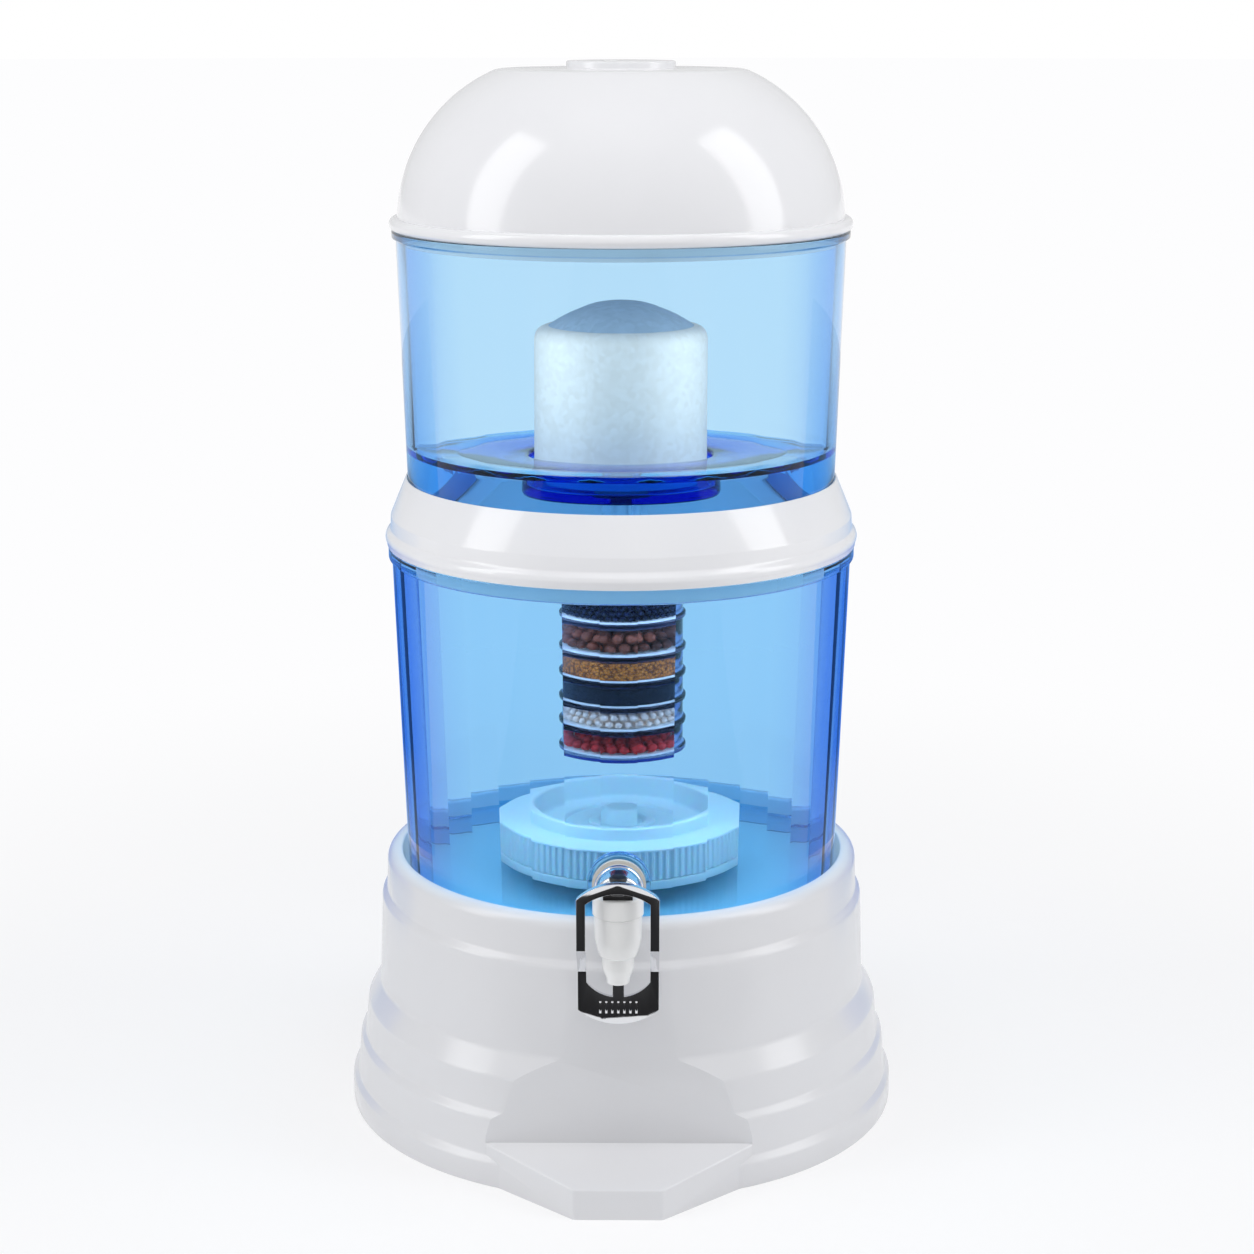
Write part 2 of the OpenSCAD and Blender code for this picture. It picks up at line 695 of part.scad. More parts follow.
// Rings of balls against the cup's wall, round a core of the same material
module ball_bed(i, d) {
    ring_r = bed_r - d / 2;
    per_row = floor(PI / asin(d * 1.02 / (2 * ring_r)) * deg);
    rows = floor((bed_h(i) - d) / (0.9 * d)) + 1;
    translate([0, 0, bed_z(i)]) {
        cylinder(r = ring_r - d / 2 - 0.15, h = bed_h(i));
        for (row = [0:rows - 1]) for (k = [0:per_row - 1])
            rotate([0, 0, (k + row / 2) * 360 / per_row])
                translate([ring_r, 0, d / 2 + row * 0.92 * d]) sphere(d = d, $fn = 24);
    }
}

module felt_pads() {
    color("#f5f3ec") for (i = [0:len(cup_heights) - 1])
        translate([0, 0, cup_z(i) + cup_floor_t]) cylinder(r = bed_r, h = pad_t);
}

module cartridge_cap() {
    plate_t = 4;
    top = cap_neck_top;
    color("#b9d6f7") difference() {
        rotate_extrude() polygon([
            [0, stack_top_z - snap_h], [cup_in_r - 0.15, stack_top_z - snap_h], [cup_in_r - 0.15, stack_top_z],
            [cup_r + cup_ring_out, stack_top_z], [cup_r + cup_ring_out, stack_top_z + cup_ring_h],
            [cup_r, stack_top_z + plate_t], [filter_stem_r + 8, stack_top_z + plate_t + 5],
            [filter_stem_r + 4, stack_top_z + plate_t + 10], [filter_stem_r + 4, top - 1],
            [filter_stem_r + 3, top], [0, top]
        ]);
        translate([0, 0, filter_stem_z - hair]) cylinder(r = filter_stem_r + hair, h = cap_neck_h + e);
        translate([0, 0, stack_top_z - snap_h - e])
            cylinder(r = filter_stem_bore, h = filter_stem_z - stack_top_z + snap_h + 2 * e);
    }
}

// ---- stone case ----
case_z = lower_floor_z + hair;
case_top_z = case_z + case_h;
case_tray_wall_r = case_r - case_groove - case_wall - drop_gap;

module stone_case_tray() {
    wall_top = case_top_z - case_wall - 4;
    color("#a9dcf8") rotate_extrude() polygon([
        [0, case_z], [case_r - 1, case_z], [case_r, case_z + 1], [case_r, case_z + case_band_h - 0.2],
        [case_tray_wall_r, case_z + case_band_h - 0.2], [case_tray_wall_r, wall_top],
        [case_tray_wall_r - case_wall, wall_top], [case_tray_wall_r - case_wall, case_z + case_wall],
        [0, case_z + case_wall]
    ]);
}

// Ribbed outline of the lid: each rib and groove is a quarter, flank, quarter, flank
module ribbed_outline() {
    step = 360 / case_rib_count;
    polygon([for (i = [0:case_rib_count - 1], p = [[0, 0], [0.4, 0], [0.5, 1], [0.9, 1]])
        let (r = case_r - p[1] * case_groove, a = (i + p[0]) * step) [r * cos(a), r * sin(a)]]);
}

module stone_case_lid() {
    dish_floor_z = case_top_z - 5;
    ring_in_r = case_ring_r - 4;
    top = case_top_z + case_ring_h;
    skirt_z = case_z + case_band_h;
    rim_t = 1.6;
    color("#bfe6fb") difference() {
        union() {
            translate([0, 0, skirt_z]) linear_extrude(height = case_h - case_band_h - rim_t + 0.4)
                ribbed_outline();
            rotate_extrude() polygon([
                [0, dish_floor_z - case_wall], [case_r - 2 * case_groove, dish_floor_z - case_wall],
                [case_r - 2 * case_groove, case_top_z - rim_t], [case_r + 0.2, case_top_z - rim_t],
                [case_r + 0.2, case_top_z - 0.9], [case_r - 0.7, case_top_z],
                [case_ring_r, case_top_z], [case_ring_r - 0.4, top - 0.6],
                [case_ring_r - 1, top], [ring_in_r + 0.6, top], [ring_in_r, top - 0.6],
                [ring_in_r - 1, dish_floor_z], [34, dish_floor_z], [33, dish_floor_z + 1.4],
                [31, dish_floor_z + 1.4], [30, dish_floor_z], [20, dish_floor_z], [19, dish_floor_z + 1.4],
                [17, dish_floor_z + 1.4], [16, dish_floor_z], [10, dish_floor_z + 0.6],
                [8, top - 4], [7, top - 3], [0, top - 3]
            ]);
        }
        rotate_extrude() polygon([
            [0, skirt_z - e], [case_tray_wall_r + drop_gap, skirt_z - e],
            [case_tray_wall_r + drop_gap, case_top_z - case_wall], [case_ring_r + 1, case_top_z - case_wall],
            [ring_in_r + 2, dish_floor_z - case_wall], [0, dish_floor_z - case_wall]
        ]);
    }
}

module mineral_stones() {
    ring_r = [case_tray_wall_r - case_wall - stone_d * 0.55, case_tray_wall_r - case_wall - stone_d * 1.75,
              case_tray_wall_r - case_wall - stone_d * 2.95, case_tray_wall_r - case_wall - stone_d * 4.15];
    color("#b9b2a2") for (ring = [0:len(ring_r) - 1]) {
        per_ring = floor(2 * PI * ring_r[ring] / (stone_d * 1.12));
        for (k = [0:per_ring - 1]) {
            d = stone_d * (0.9 + 0.1 * cos(k * 137));
            rotate([0, 0, k * 360 / per_ring + ring * 7])
                translate([ring_r[ring], 0, case_z + case_wall + d / 2 + hair]) sphere(d = d, $fn = 24);
        }
    }
}

// ---- tap ----
outer_washer_t = 2.5;
inner_washer_t = 2;
tap_nut_t = 8;
bonnet_top_z = tap_z + 9.7;
bonnet_z = bonnet_top_z - bonnet_h;
thread_r = bonnet_r - 1.8;
chamber_r = thread_r - 3;
chamber_top_z = bonnet_top_z - 3.7;
spout_z = bonnet_z - valve_drop;
seat_floor_z = spout_z + 20.5;
seat_ring_h = 1.2;
flange_y = -(tap_pad_front + outer_washer_t);
flange_t = 2.5;
back_plate_y = -tap_out + bonnet_r + 0.3;
back_plate_t = 2;
sleeve_end_y = back_plate_y + back_plate_t;
neck_r = 9;
spout_bore = 4.5;
link_r = 6.6;
link_z = bonnet_z - link_r - 0.3;

module tap_body() {
    cup_r_low = 9;
    color("#f3f3f3") difference() {
        union() {
            rod_y(shank_r, flange_y, -tap_pad_back + inner_washer_t + tap_nut_t + 4, 0, tap_z);
            rod_y(sleeve_r - 0.6, flange_y - flange_t, flange_y, 0, tap_z);
            rod_y(neck_r, back_plate_y, flange_y, 0, tap_z);
            rod_y(valve_r - 0.6, back_plate_y, sleeve_end_y - hair, 0, tap_z - 3.2);
            rod_y(link_r, -tap_out, back_plate_y, 0, link_z);
            translate([0, -tap_out, 0]) rotate_extrude() polygon(concat(
                [[0, spout_z], [spout_r, spout_z], [spout_r + 0.3, spout_z + 3], [8.4, spout_z + 8],
                 [8.4, spout_z + 15]],
                [[cup_r_low + 1, spout_z + 15.8], [valve_r - 0.8, spout_z + 21], [valve_r, spout_z + 25],
                 [valve_r, bonnet_z - 0.3], [thread_r, bonnet_z - 0.3], [thread_r, chamber_top_z - 0.2],
                 [0, chamber_top_z - 0.2]]
            ));
        }
        rod_y(3.6, back_plate_y - 1.5, -tap_pad_back + 3 * tap_nut_t, 0, tap_z);
        translate([0, back_plate_y - 1.2, tap_z - 10]) cylinder(r = 2.4, h = 10);
        rod_y(2.4, -tap_out, back_plate_y - 1, 0, tap_z - 8.6);
        translate([0, -tap_out, 0]) {
            translate([0, 0, spout_z - e]) cylinder(r = spout_bore, h = seat_floor_z - spout_z + 2 * e);
            translate([0, 0, seat_floor_z + seat_ring_h])
                cylinder(r = chamber_r, h = chamber_top_z - seat_floor_z);
            difference() {
                translate([0, 0, seat_floor_z]) cylinder(r = chamber_r, h = 2 * seat_ring_h);
                translate([0, 0, seat_floor_z - e])
                    cylinder(r = spout_bore + 1.2, h = seat_ring_h + e);
            }
        }
    }
}

module tap_sleeve() {
    y1 = flange_y - flange_t;
    len = y1 - sleeve_end_y;
    color("#c8ccd0") translate([0, y1, tap_z]) rotate([90, 0, 0]) rotate_extrude() polygon([
        [neck_r + 0.05, 0], [sleeve_r, 0], [sleeve_r, 0.12 * len], [sleeve_r - 0.7, 0.16 * len],
        [sleeve_r - 0.7, 0.8 * len], [sleeve_r, 0.84 * len], [sleeve_r, 0.95 * len],
        [sleeve_r - 1, len], [neck_r + 0.05, len]
    ]);
}

// Flat ring on the shank between two Y positions
module shank_ring(r, y0, y1, hole_gap) {
    difference() {
        rod_y(r, y0, y1, 0, tap_z);
        rod_y(shank_r + hole_gap, y0 - e, y1 + e, 0, tap_z);
    }
}

module tap_outer_washer() {
    color("#cfd4d8") shank_ring(tap_pad_r - 2.4, flange_y, -tap_pad_front, 0.1);
}

module tap_inner_washer() {
    color("#cfd4d8") shank_ring(tap_pad_r - 3, -tap_pad_back, -tap_pad_back + inner_washer_t, 0.1);
}

module tap_nut() {
    y0 = -tap_pad_back + inner_washer_t;
    color("#f1f1f4") difference() {
        union() {
            translate([0, y0, tap_z]) rotate([-90, 0, 0]) cylinder(r = 13.5, h = tap_nut_t - 2, $fn = 6);
            rod_y(tap_pad_r - 3.4, y0, y0 + 2, 0, tap_z);
            rod_y(11, y0, y0 + tap_nut_t, 0, tap_z);
        }
        rod_y(shank_r + hair, y0 - e, y0 + tap_nut_t + e, 0, tap_z);
    }
}

module tap_bonnet() {
    color("#f5f5f5") translate([0, -tap_out, 0]) rotate_extrude() polygon([
        [thread_r + 0.1, bonnet_z], [bonnet_r - 0.4, bonnet_z], [bonnet_r, bonnet_z + 0.4],
        [bonnet_r, bonnet_top_z - 1], [bonnet_r - 1, bonnet_top_z], [stem_r + running_gap, bonnet_top_z],
        [stem_r + running_gap, chamber_top_z], [thread_r + 0.1, chamber_top_z]
    ]);
}

fulcrum_t = 2.4;
fulcrum_w = 15.5;
ear_gap_w = 6.6;
ear_t = 2;
ear_r = 2.8;
pivot_y = -tap_out - lever_arm;
pivot_z = bonnet_top_z + fulcrum_t + ear_r + 0.3;
fulcrum_front_y = pivot_y - ear_r - 0.2;

module tap_fulcrum() {
    color("#1d1d1f") difference() {
        union() {
            translate([-fulcrum_w / 2, fulcrum_front_y, bonnet_top_z])
                cube([fulcrum_w, -tap_out + 4.5 - fulcrum_front_y, fulcrum_t]);
            for (side = [-1, 1]) translate([side * (ear_gap_w + ear_t) / 2, 0, 0]) {
                rod_x(ear_r, ear_t, pivot_y, pivot_z);
                translate([-ear_t / 2, pivot_y - ear_r, bonnet_top_z]) cube([ear_t, 2 * ear_r, pivot_z - bonnet_top_z]);
            }
        }
        rod_x(pin_r + hair, fulcrum_w + 2 * e, pivot_y, pivot_z);
        translate([0, -tap_out, bonnet_top_z - e])
            cylinder(r = stem_r + 0.4, h = fulcrum_t + 2 * e);
    }
}

module tap_pin() {
    color("#c8ccd0") rod_x(pin_r, ear_gap_w + 2 * ear_t + 0.8, pivot_y, pivot_z);
}

// ---- lever ----
lever_front_y = pivot_y - ear_r - 0.8 - lever_t;
pad_front_y = -tap_out + spout_r + 1.8;
pad_top_corner_z = pivot_z - 58;
pad_bottom_z = pivot_z - lever_reach;
kink_top_z = pivot_z - 31.8;
kink_low_z = pivot_z - 51.9;
arch_rise = 8.8;
arch_top_z = pivot_z + 4.9;
half_w = lever_w / 2;
in_half_w = half_w - lever_bar_w;
fork_pad_r = 1.3;
fork_half_w = 4.2;
fork_slot_half = stem_r + 0.3;

// Radius of an arc that rises by this much over this half chord
function sagitta_r(half, rise) = (half * half + rise * rise) / (2 * rise);

// Front outline of the lever's arch and the straight parts of its bars
module arch_outline() {
    outer_r = sagitta_r(half_w, arch_rise);
    inner_r = sagitta_r(in_half_w, 5.6);
    inner_top = arch_top_z - 5.6;
    difference() {
        intersection() {
            translate([-half_w, kink_top_z]) square([lever_w, arch_top_z - kink_top_z]);
            union() {
                translate([0, arch_top_z - outer_r]) circle(r = outer_r, $fn = 128);
                translate([-half_w, kink_top_z]) square([lever_w, arch_top_z - arch_rise - 2 - kink_top_z]);
            }
        }
        intersection() {
            translate([-in_half_w, kink_top_z - e]) square([2 * in_half_w, inner_top - kink_top_z + e]);
            union() {
                translate([0, inner_top - inner_r]) circle(r = inner_r, $fn = 128);
                translate([-in_half_w, kink_top_z - e])
                    square([2 * in_half_w, inner_top - 5.6 - kink_top_z + e]);
            }
        }
    }
}

// Front outline of the push pad with the lower ends of the bars
module pad_outline() {
    bottom_r = sagitta_r(half_w, 8);
    mouth_r = sagitta_r(in_half_w, 8.5);
    difference() {
        intersection() {
            translate([-half_w, pad_bottom_z]) square([lever_w, kink_low_z - pad_bottom_z]);
            union() {
                translate([0, pad_bottom_z + bottom_r]) circle(r = bottom_r, $fn = 128);
                translate([-half_w, pad_bottom_z + 8]) square([lever_w, kink_low_z - pad_bottom_z]);
            }
        }
        difference() {
            translate([-in_half_w, pad_top_corner_z - 8.5])
                square([2 * in_half_w, kink_low_z - pad_top_corner_z + 8.5 + e]);
            difference() {
                translate([-in_half_w - e, pad_top_corner_z - 8.5 - e])
                    square([2 * in_half_w + 2 * e, 8.5 + e]);
                translate([0, pad_top_corner_z - 8.5 + mouth_r]) circle(r = mouth_r, $fn = 128);
            }
        }
    }
    translate([-3, pad_top_corner_z - 10]) square([6, 15]);
}

module lever_plate(front_y, t) {
    translate([0, front_y + t, 0]) rotate([90, 0, 0]) linear_extrude(height = t) children();
}

module tap_lever() {
    back_y = pad_front_y + lever_pad_t;
    color("#b9bec4") difference() {
        union() {
            lever_plate(lever_front_y, lever_t) arch_outline();
            lever_plate(pad_front_y, lever_pad_t) pad_outline();
            for (side = [-1, 1]) translate([side * (half_w - lever_bar_w / 2), 0, 0])
                rotate([90, 0, 90]) linear_extrude(height = lever_bar_w, center = true) polygon([
                    [lever_front_y, kink_top_z], [lever_front_y + lever_t, kink_top_z],
                    [back_y, kink_low_z], [pad_front_y, kink_low_z]
                ]);
            rod_x(ear_r, ear_gap_w - 0.5, pivot_y, pivot_z);
            translate([-ear_gap_w / 2 + 0.25, lever_front_y + e, pivot_z - 1.8])
                cube([ear_gap_w - 0.5, pivot_y - lever_front_y - e, 1.8 + ear_r]);
            translate([-ear_gap_w / 2 + 0.25, pivot_y, pivot_z - 1.6])
                cube([ear_gap_w - 0.5, lever_arm - stem_r - 2.4, 1.6]);
            for (side = [-1, 1]) {
                translate([side > 0 ? fork_slot_half : -fork_half_w, pivot_y + ear_r + 0.5, pivot_z - 1.6])
                    cube([fork_half_w - fork_slot_half, lever_arm - ear_r - 0.5, 1.6]);
                translate([side * (fork_half_w + fork_slot_half) / 2, 0, 0])
                    rod_x(fork_pad_r, fork_half_w - fork_slot_half, -tap_out, pivot_z);
            }
        }
        rod_x(pin_r + running_gap, ear_gap_w + 2 * e, pivot_y, pivot_z);
    }
}

// ---- stem, plug and spring ----
plug_z = seat_floor_z + seat_ring_h + hair;
plug_h = 6;
plug_r = chamber_r - 1.1;
stem_collar_t = 1.5;
head_z = pivot_z + fork_pad_r + 0.15;

module tap_stem() {
    color("#2a2a2d") translate([0, -tap_out, 0]) rotate_extrude() polygon([
        [0, plug_z + 2.5], [1.4, plug_z + 2.5], [1.4, plug_z + plug_h], [plug_r - 1, plug_z + plug_h],
        [plug_r - 1, plug_z + plug_h + stem_collar_t], [stem_r, plug_z + plug_h + stem_collar_t],
        [stem_r, head_z], [4.6, head_z], [4.6, head_z + 1.6], [4, head_z + 2.2], [0, head_z + 2.2]
    ]);
}

module tap_plug() {
    color("#e9e4da") translate([0, -tap_out, 0]) rotate_extrude() polygon([
        [0, plug_z], [spout_bore + 1.8, plug_z], [plug_r, plug_z + 1.6], [plug_r, plug_z + plug_h - hair],
        [1.45, plug_z + plug_h - hair], [1.45, plug_z + 2.45], [0, plug_z + 2.45]
    ]);
}

coil_r = 4.6;
coil_sides = 6;
rings_per_turn = 8;
coil_z0 = plug_z + plug_h + stem_collar_t + wire_r + 0.1;
coil_z1 = chamber_top_z - wire_r - 0.1;
coil_rings = spring_turns * rings_per_turn;

// Point on the wire's skin: ring number along the wire, angle round it
function wire_point(i, a) =
    let (t = i * 360 / rings_per_turn, rr = coil_r + wire_r * cos(a))
        [rr * cos(t), rr * sin(t), coil_z0 + (coil_z1 - coil_z0) * i / coil_rings + wire_r * sin(a)];

// One unbroken wire wound round the stem
module tap_spring() {
    echo(least_spring_gap = min([for (i = [0:coil_rings - rings_per_turn])
        norm(wire_point(i + rings_per_turn, 0) - wire_point(i, 0)) - 2 * wire_r]));
    points = [for (i = [0:coil_rings], k = [0:coil_sides - 1]) wire_point(i, k * 360 / coil_sides)];
    last = coil_rings * coil_sides;
    sides = [for (i = [0:coil_rings - 1], k = [0:coil_sides - 1])
        let (a = i * coil_sides + k, b = i * coil_sides + (k + 1) % coil_sides)
            each [[a, a + coil_sides, b], [b, a + coil_sides, b + coil_sides]]];
    caps = [for (k = [1:coil_sides - 2]) each [[0, k, k + 1], [last, last + k + 1, last + k]]];
    color("#c8ccd0") translate([0, -tap_out, 0]) polyhedron(points = points, faces = concat(sides, caps));
}

base_stand();
lower_tank();
collar();
upper_tank();
lid();
ceramic_dome();
carbon_core();
ceramic_base();
ceramic_stem();
ceramic_washer();
stem_washer();
stem_nut();
cartridge_cap();
cup(5);  // cup_dark
cup(4);  // cup_pebble
cup(3);  // cup_grain
cup(2);  // cup_carbon
cup(1);  // cup_white
cup(0);  // cup_red
color("#1c2440") grain_bed(5);  // dark_balls
color("#8a6a5c") ball_bed(4, 6.8);  // brown_pebbles
color("#b07a35") grain_bed(3);  // tan_grains
color("#0d1524") grain_bed(2);  // black_carbon
color("#e6e6ec") ball_bed(1, 4.6);  // white_balls
color("#b04038") ball_bed(0, 5.4);  // red_balls
felt_pads();
stone_case_tray();
stone_case_lid();
mineral_stones();
tap_body();
tap_sleeve();
tap_outer_washer();
tap_inner_washer();
tap_nut();
tap_bonnet();
tap_fulcrum();
tap_pin();
tap_lever();
tap_stem();
tap_plug();
tap_spring();
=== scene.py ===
# %% [markdown]
# # Gravity water filter with tap
# Water is poured into the upper tank under the white lid. It seeps through a ceramic dome, runs down
# through a stack of mineral cups, and collects in the deep blue lower tank, where a lever tap lets it out.
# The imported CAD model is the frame: each piece built here rides on one of its bodies, and most of them
# stand for a CAD node with a smoother mesh, softer edges and a real finish.

# %% Load the frame
import math
import random

import bmesh
import bpy
from mathutils import Matrix, Vector


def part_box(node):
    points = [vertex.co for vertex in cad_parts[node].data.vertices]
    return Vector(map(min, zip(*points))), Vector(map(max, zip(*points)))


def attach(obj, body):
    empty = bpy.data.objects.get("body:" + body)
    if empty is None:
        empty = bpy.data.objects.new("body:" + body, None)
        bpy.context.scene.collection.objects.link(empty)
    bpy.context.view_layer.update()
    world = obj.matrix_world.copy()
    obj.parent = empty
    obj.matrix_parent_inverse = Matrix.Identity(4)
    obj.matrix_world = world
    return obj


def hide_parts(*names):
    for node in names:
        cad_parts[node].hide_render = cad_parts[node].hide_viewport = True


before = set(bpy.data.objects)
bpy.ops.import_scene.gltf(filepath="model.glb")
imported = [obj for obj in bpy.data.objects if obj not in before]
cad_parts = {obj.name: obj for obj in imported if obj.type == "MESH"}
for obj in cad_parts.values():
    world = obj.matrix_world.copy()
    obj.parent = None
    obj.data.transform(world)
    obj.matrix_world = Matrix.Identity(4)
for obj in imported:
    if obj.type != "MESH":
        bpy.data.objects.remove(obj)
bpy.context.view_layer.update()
MM = 0.001

# %% [markdown]
# ## Heights
# The frame already knows where each part sits, so the heights are read from its nodes. The radii are
# typed in where each piece is made. Everything is thought of in millimetres and made in metres.

# %% Heights from the frame


def low(node):
    """Height of a node's lowest point, in millimetres."""
    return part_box(node)[0].z / MM


def high(node):
    """Height of a node's highest point, in millimetres."""
    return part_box(node)[1].z / MM


lower_foot = low("lower_tank")
lower_rim = high("lower_tank")
upper_foot = low("upper_tank")
upper_rim = high("upper_tank")
collar_top = high("collar")
lid_top = high("lid")
print("tank feet and rims:", [round(v, 1) for v in (lower_foot, lower_rim, upper_foot, upper_rim)])

# %% [markdown]
# ## Helpers for colour and material nodes
# Colours are picked as sRGB hex values, as on a screen, but the shader works in linear light, so one
# function converts them. A second small function adds a node, sets its values and links its inputs,
# which keeps each material short enough to read.

# %% Colour and node helpers


def linear(hex_colour):
    """An sRGB hex colour as linear RGBA."""
    parts = [int(hex_colour[i : i + 2], 16) / 255 for i in (1, 3, 5)]
    return (*[p / 12.92 if p <= 0.04045 else ((p + 0.055) / 1.055) ** 2.4 for p in parts], 1.0)


def add(tree, kind, inputs=None, **settings):
    """Adds a node. Settings are its properties, and inputs are numbers or the sockets to link."""
    new = tree.nodes.new("ShaderNode" + kind)
    for name, value in settings.items():
        setattr(new, name, value)
    for name, value in (inputs or {}).items():
        if isinstance(value, bpy.types.NodeSocket):
            tree.links.new(value, new.inputs[name])
        else:
            new.inputs[name].default_value = value
    return new


def begin(name, values):
    """Starts a material and returns it with its tree, its shader and its object coordinates."""
    material = bpy.data.materials.new(name)
    material.use_nodes = True
    tree = material.node_tree
    shader = tree.nodes["Principled BSDF"]
    for socket, value in values.items():
        shader.inputs[socket].default_value = value
    return material, tree, shader, add(tree, "TexCoord").outputs["Object"]


def mix_colours(tree, factor, first, second):
    """Blends two colours by a socket, each a hex code or a socket, and returns the colour socket."""
    first, second = [linear(c) if isinstance(c, str) else c for c in (first, second)]
    return add(tree, "Mix", {0: factor, 6: first, 7: second}, data_type="RGBA").outputs[2]


print("white is", [round(c, 3) for c in linear("#F3F3F5")])

# %% [markdown]
# ## Moulded plastics
# The lid, collar, base, tap and nuts are injection-moulded ABS or polypropylene. A polished mould gives
# a glossy skin, but plastic shrinks a little as it cools, so its reflections wobble: a faint orange peel
# a few millimetres across. Where hands and cloths touch it, the gloss varies. Both come from noise in
# object coordinates, scaled in real millimetres.

# %% Moulded plastic


def moulded(name, colour, shade, roughness, peel_mm, peel, ior=1.54):
    """Moulded plastic in one colour that drifts a little towards a second shade."""
    material, tree, shader, place = begin(name, {"IOR": ior})
    drift = add(tree, "TexNoise", {"Vector": place, "Scale": 1 / (60 * MM), "Detail": 2.0})
    handled = add(tree, "TexNoise", {"Vector": place, "Scale": 1 / (18 * MM), "Detail": 4.0})
    tree.links.new(mix_colours(tree, drift.outputs[0], colour, shade), shader.inputs["Base Color"])
    spread = {1: 0.3, 2: 0.7, 3: roughness * 0.8, 4: roughness * 1.25}
    wear = add(tree, "MapRange", {0: handled.outputs[0], **spread})
    tree.links.new(wear.outputs[0], shader.inputs["Roughness"])
    skin = add(tree, "TexNoise", {"Vector": place, "Scale": 1 / (peel_mm * MM), "Detail": 2.0})
    bump = add(tree, "Bump", {"Height": skin.outputs[0], "Strength": peel, "Distance": 0.1 * MM})
    tree.links.new(bump.outputs[0], shader.inputs["Normal"])
    return material


white_abs = moulded("polished white ABS", "#F4F4F6", "#EFEFF2", 0.13, 4, 0.05)
base_abs = moulded("satin white ABS", "#E4E4E6", "#DFDFE2", 0.21, 5, 0.03)
tap_abs = moulded("white acetal of the tap", "#F5F5F4", "#EDEDEC", 0.2, 2, 0.06)
black_abs = moulded("black acetal of the fulcrum", "#121214", "#1B1B1E", 0.36, 2, 0.08)
natural_pp = moulded("natural polypropylene", "#E3E9EE", "#D8E0E8", 0.4, 2, 0.1, ior=1.49)
silicone = moulded("grey-white silicone seal", "#CFCBC4", "#C2BEB7", 0.55, 1.5, 0.15, ior=1.41)
felt = moulded("needled polyester felt", "#F3F0E8", "#DEDACF", 0.95, 0.6, 0.9)
print("moulded plastics:", [m.name for m in (white_abs, base_abs, tap_abs, black_abs)])

# %% [markdown]
# ## Clear plastics
# Both tanks are clear tinted SAN, a glossy copolymer. Light that crosses a thin wall is tinted, and light
# that runs along the wall comes out deep blue. The first is the surface's own tint, and the second is the
# volume inside the wall, which absorbs red and green as the dye does. Light that goes from a lamp to the
# parts inside passes straight through, because a path tracer can hardly find its way to a lamp through
# bent plastic. The mirror images in the clear walls are weak, as through a polarising filter, so the parts
# inside show their own colours. The cups are clear acrylic with a hint of blue, and the stone case is
# frosted polypropylene that scatters light.

# %% Clear and frosted plastic
SKIRT_TOP, FLOOR_TOP = 386, 390  # below its floor the upper tank's wall gets a deeper blue, painted shade for the collar's shadow, in millimetres


def clear(name, tint, dye, density, edge=None, skirt_shade=None, roughness=0.02, ior=1.5):
    """Clear plastic whose dye takes its share of light for each bit of wall that the light crosses."""
    values = {"Base Color": linear(tint), "Roughness": roughness, "IOR": ior, "Transmission Weight": 1.0,
              "Specular Tint": linear("#8A8A8A")}
    material, tree, shader, place = begin(name, values)
    if edge:
        turned = add(tree, "LayerWeight", {"Blend": 0.5})
        facing = {0: turned.outputs["Facing"], 1: 0.3, 2: 0.85}
        share = add(tree, "MapRange", facing, interpolation_type="SMOOTHSTEP")
        colour = mix_colours(tree, share.outputs[0], tint, edge)
        # Below the floor the colour fades to a deeper blue: painted shade for the collar's shadow.
        if skirt_shade:
            height = add(tree, "SeparateXYZ", {0: place}).outputs["Z"]
            above = add(tree, "MapRange", {0: height, 1: SKIRT_TOP * MM, 2: FLOOR_TOP * MM}).outputs[0]
            colour = mix_colours(tree, above, skirt_shade, colour)
        tree.links.new(colour, shader.inputs["Base Color"])
    flow = add(tree, "TexNoise", {"Vector": place, "Scale": 1 / (45 * MM), "Detail": 0.0})
    bump = add(tree, "Bump", {"Height": flow.outputs[0], "Strength": 0.03, "Distance": 1 * MM})
    tree.links.new(bump.outputs[0], shader.inputs["Normal"])
    rays = add(tree, "LightPath")
    shadow, diffuse = rays.outputs["Is Shadow Ray"], rays.outputs["Is Diffuse Ray"]
    lit = add(tree, "Math", {0: shadow, 1: diffuse}, operation="MAXIMUM")
    passing = add(tree, "BsdfTransparent")
    wall = add(tree, "MixShader", {0: lit.outputs[0], 1: shader.outputs[0], 2: passing.outputs[0]})
    tree.links.new(wall.outputs[0], tree.nodes["Material Output"].inputs["Surface"])
    inside = add(tree, "VolumeAbsorption", {"Color": linear(dye), "Density": density})
    tree.links.new(inside.outputs[0], tree.nodes["Material Output"].inputs["Volume"])
    return material


# The skirt colour of the upper tank is painted shade for the collar's shadow.
upper_san = clear("light blue SAN", "#E6F5FE", "#1FD2FA", 45, edge="#6FB2F6", skirt_shade="#7CC4F8")
lower_san = clear("deep blue SAN", "#D8EFFE", "#19D0F9", 84, edge="#2E74EE")
disc_san = clear("light blue SAN, thick disc", "#3890E8", "#1F98F4", 60, ior=1.2)
pale_san = clear("light blue SAN, floor", "#74DCFF", "#1FD2FA", 45, ior=1.2)
deep_san = clear("deep blue SAN, floor", "#B0EAFF", "#19D8F9", 36, ior=1.2)
clear_acrylic = clear("clear acrylic", "#F3F7FF", "#5A86D8", 50, edge="#8FA8E6", ior=1.25)

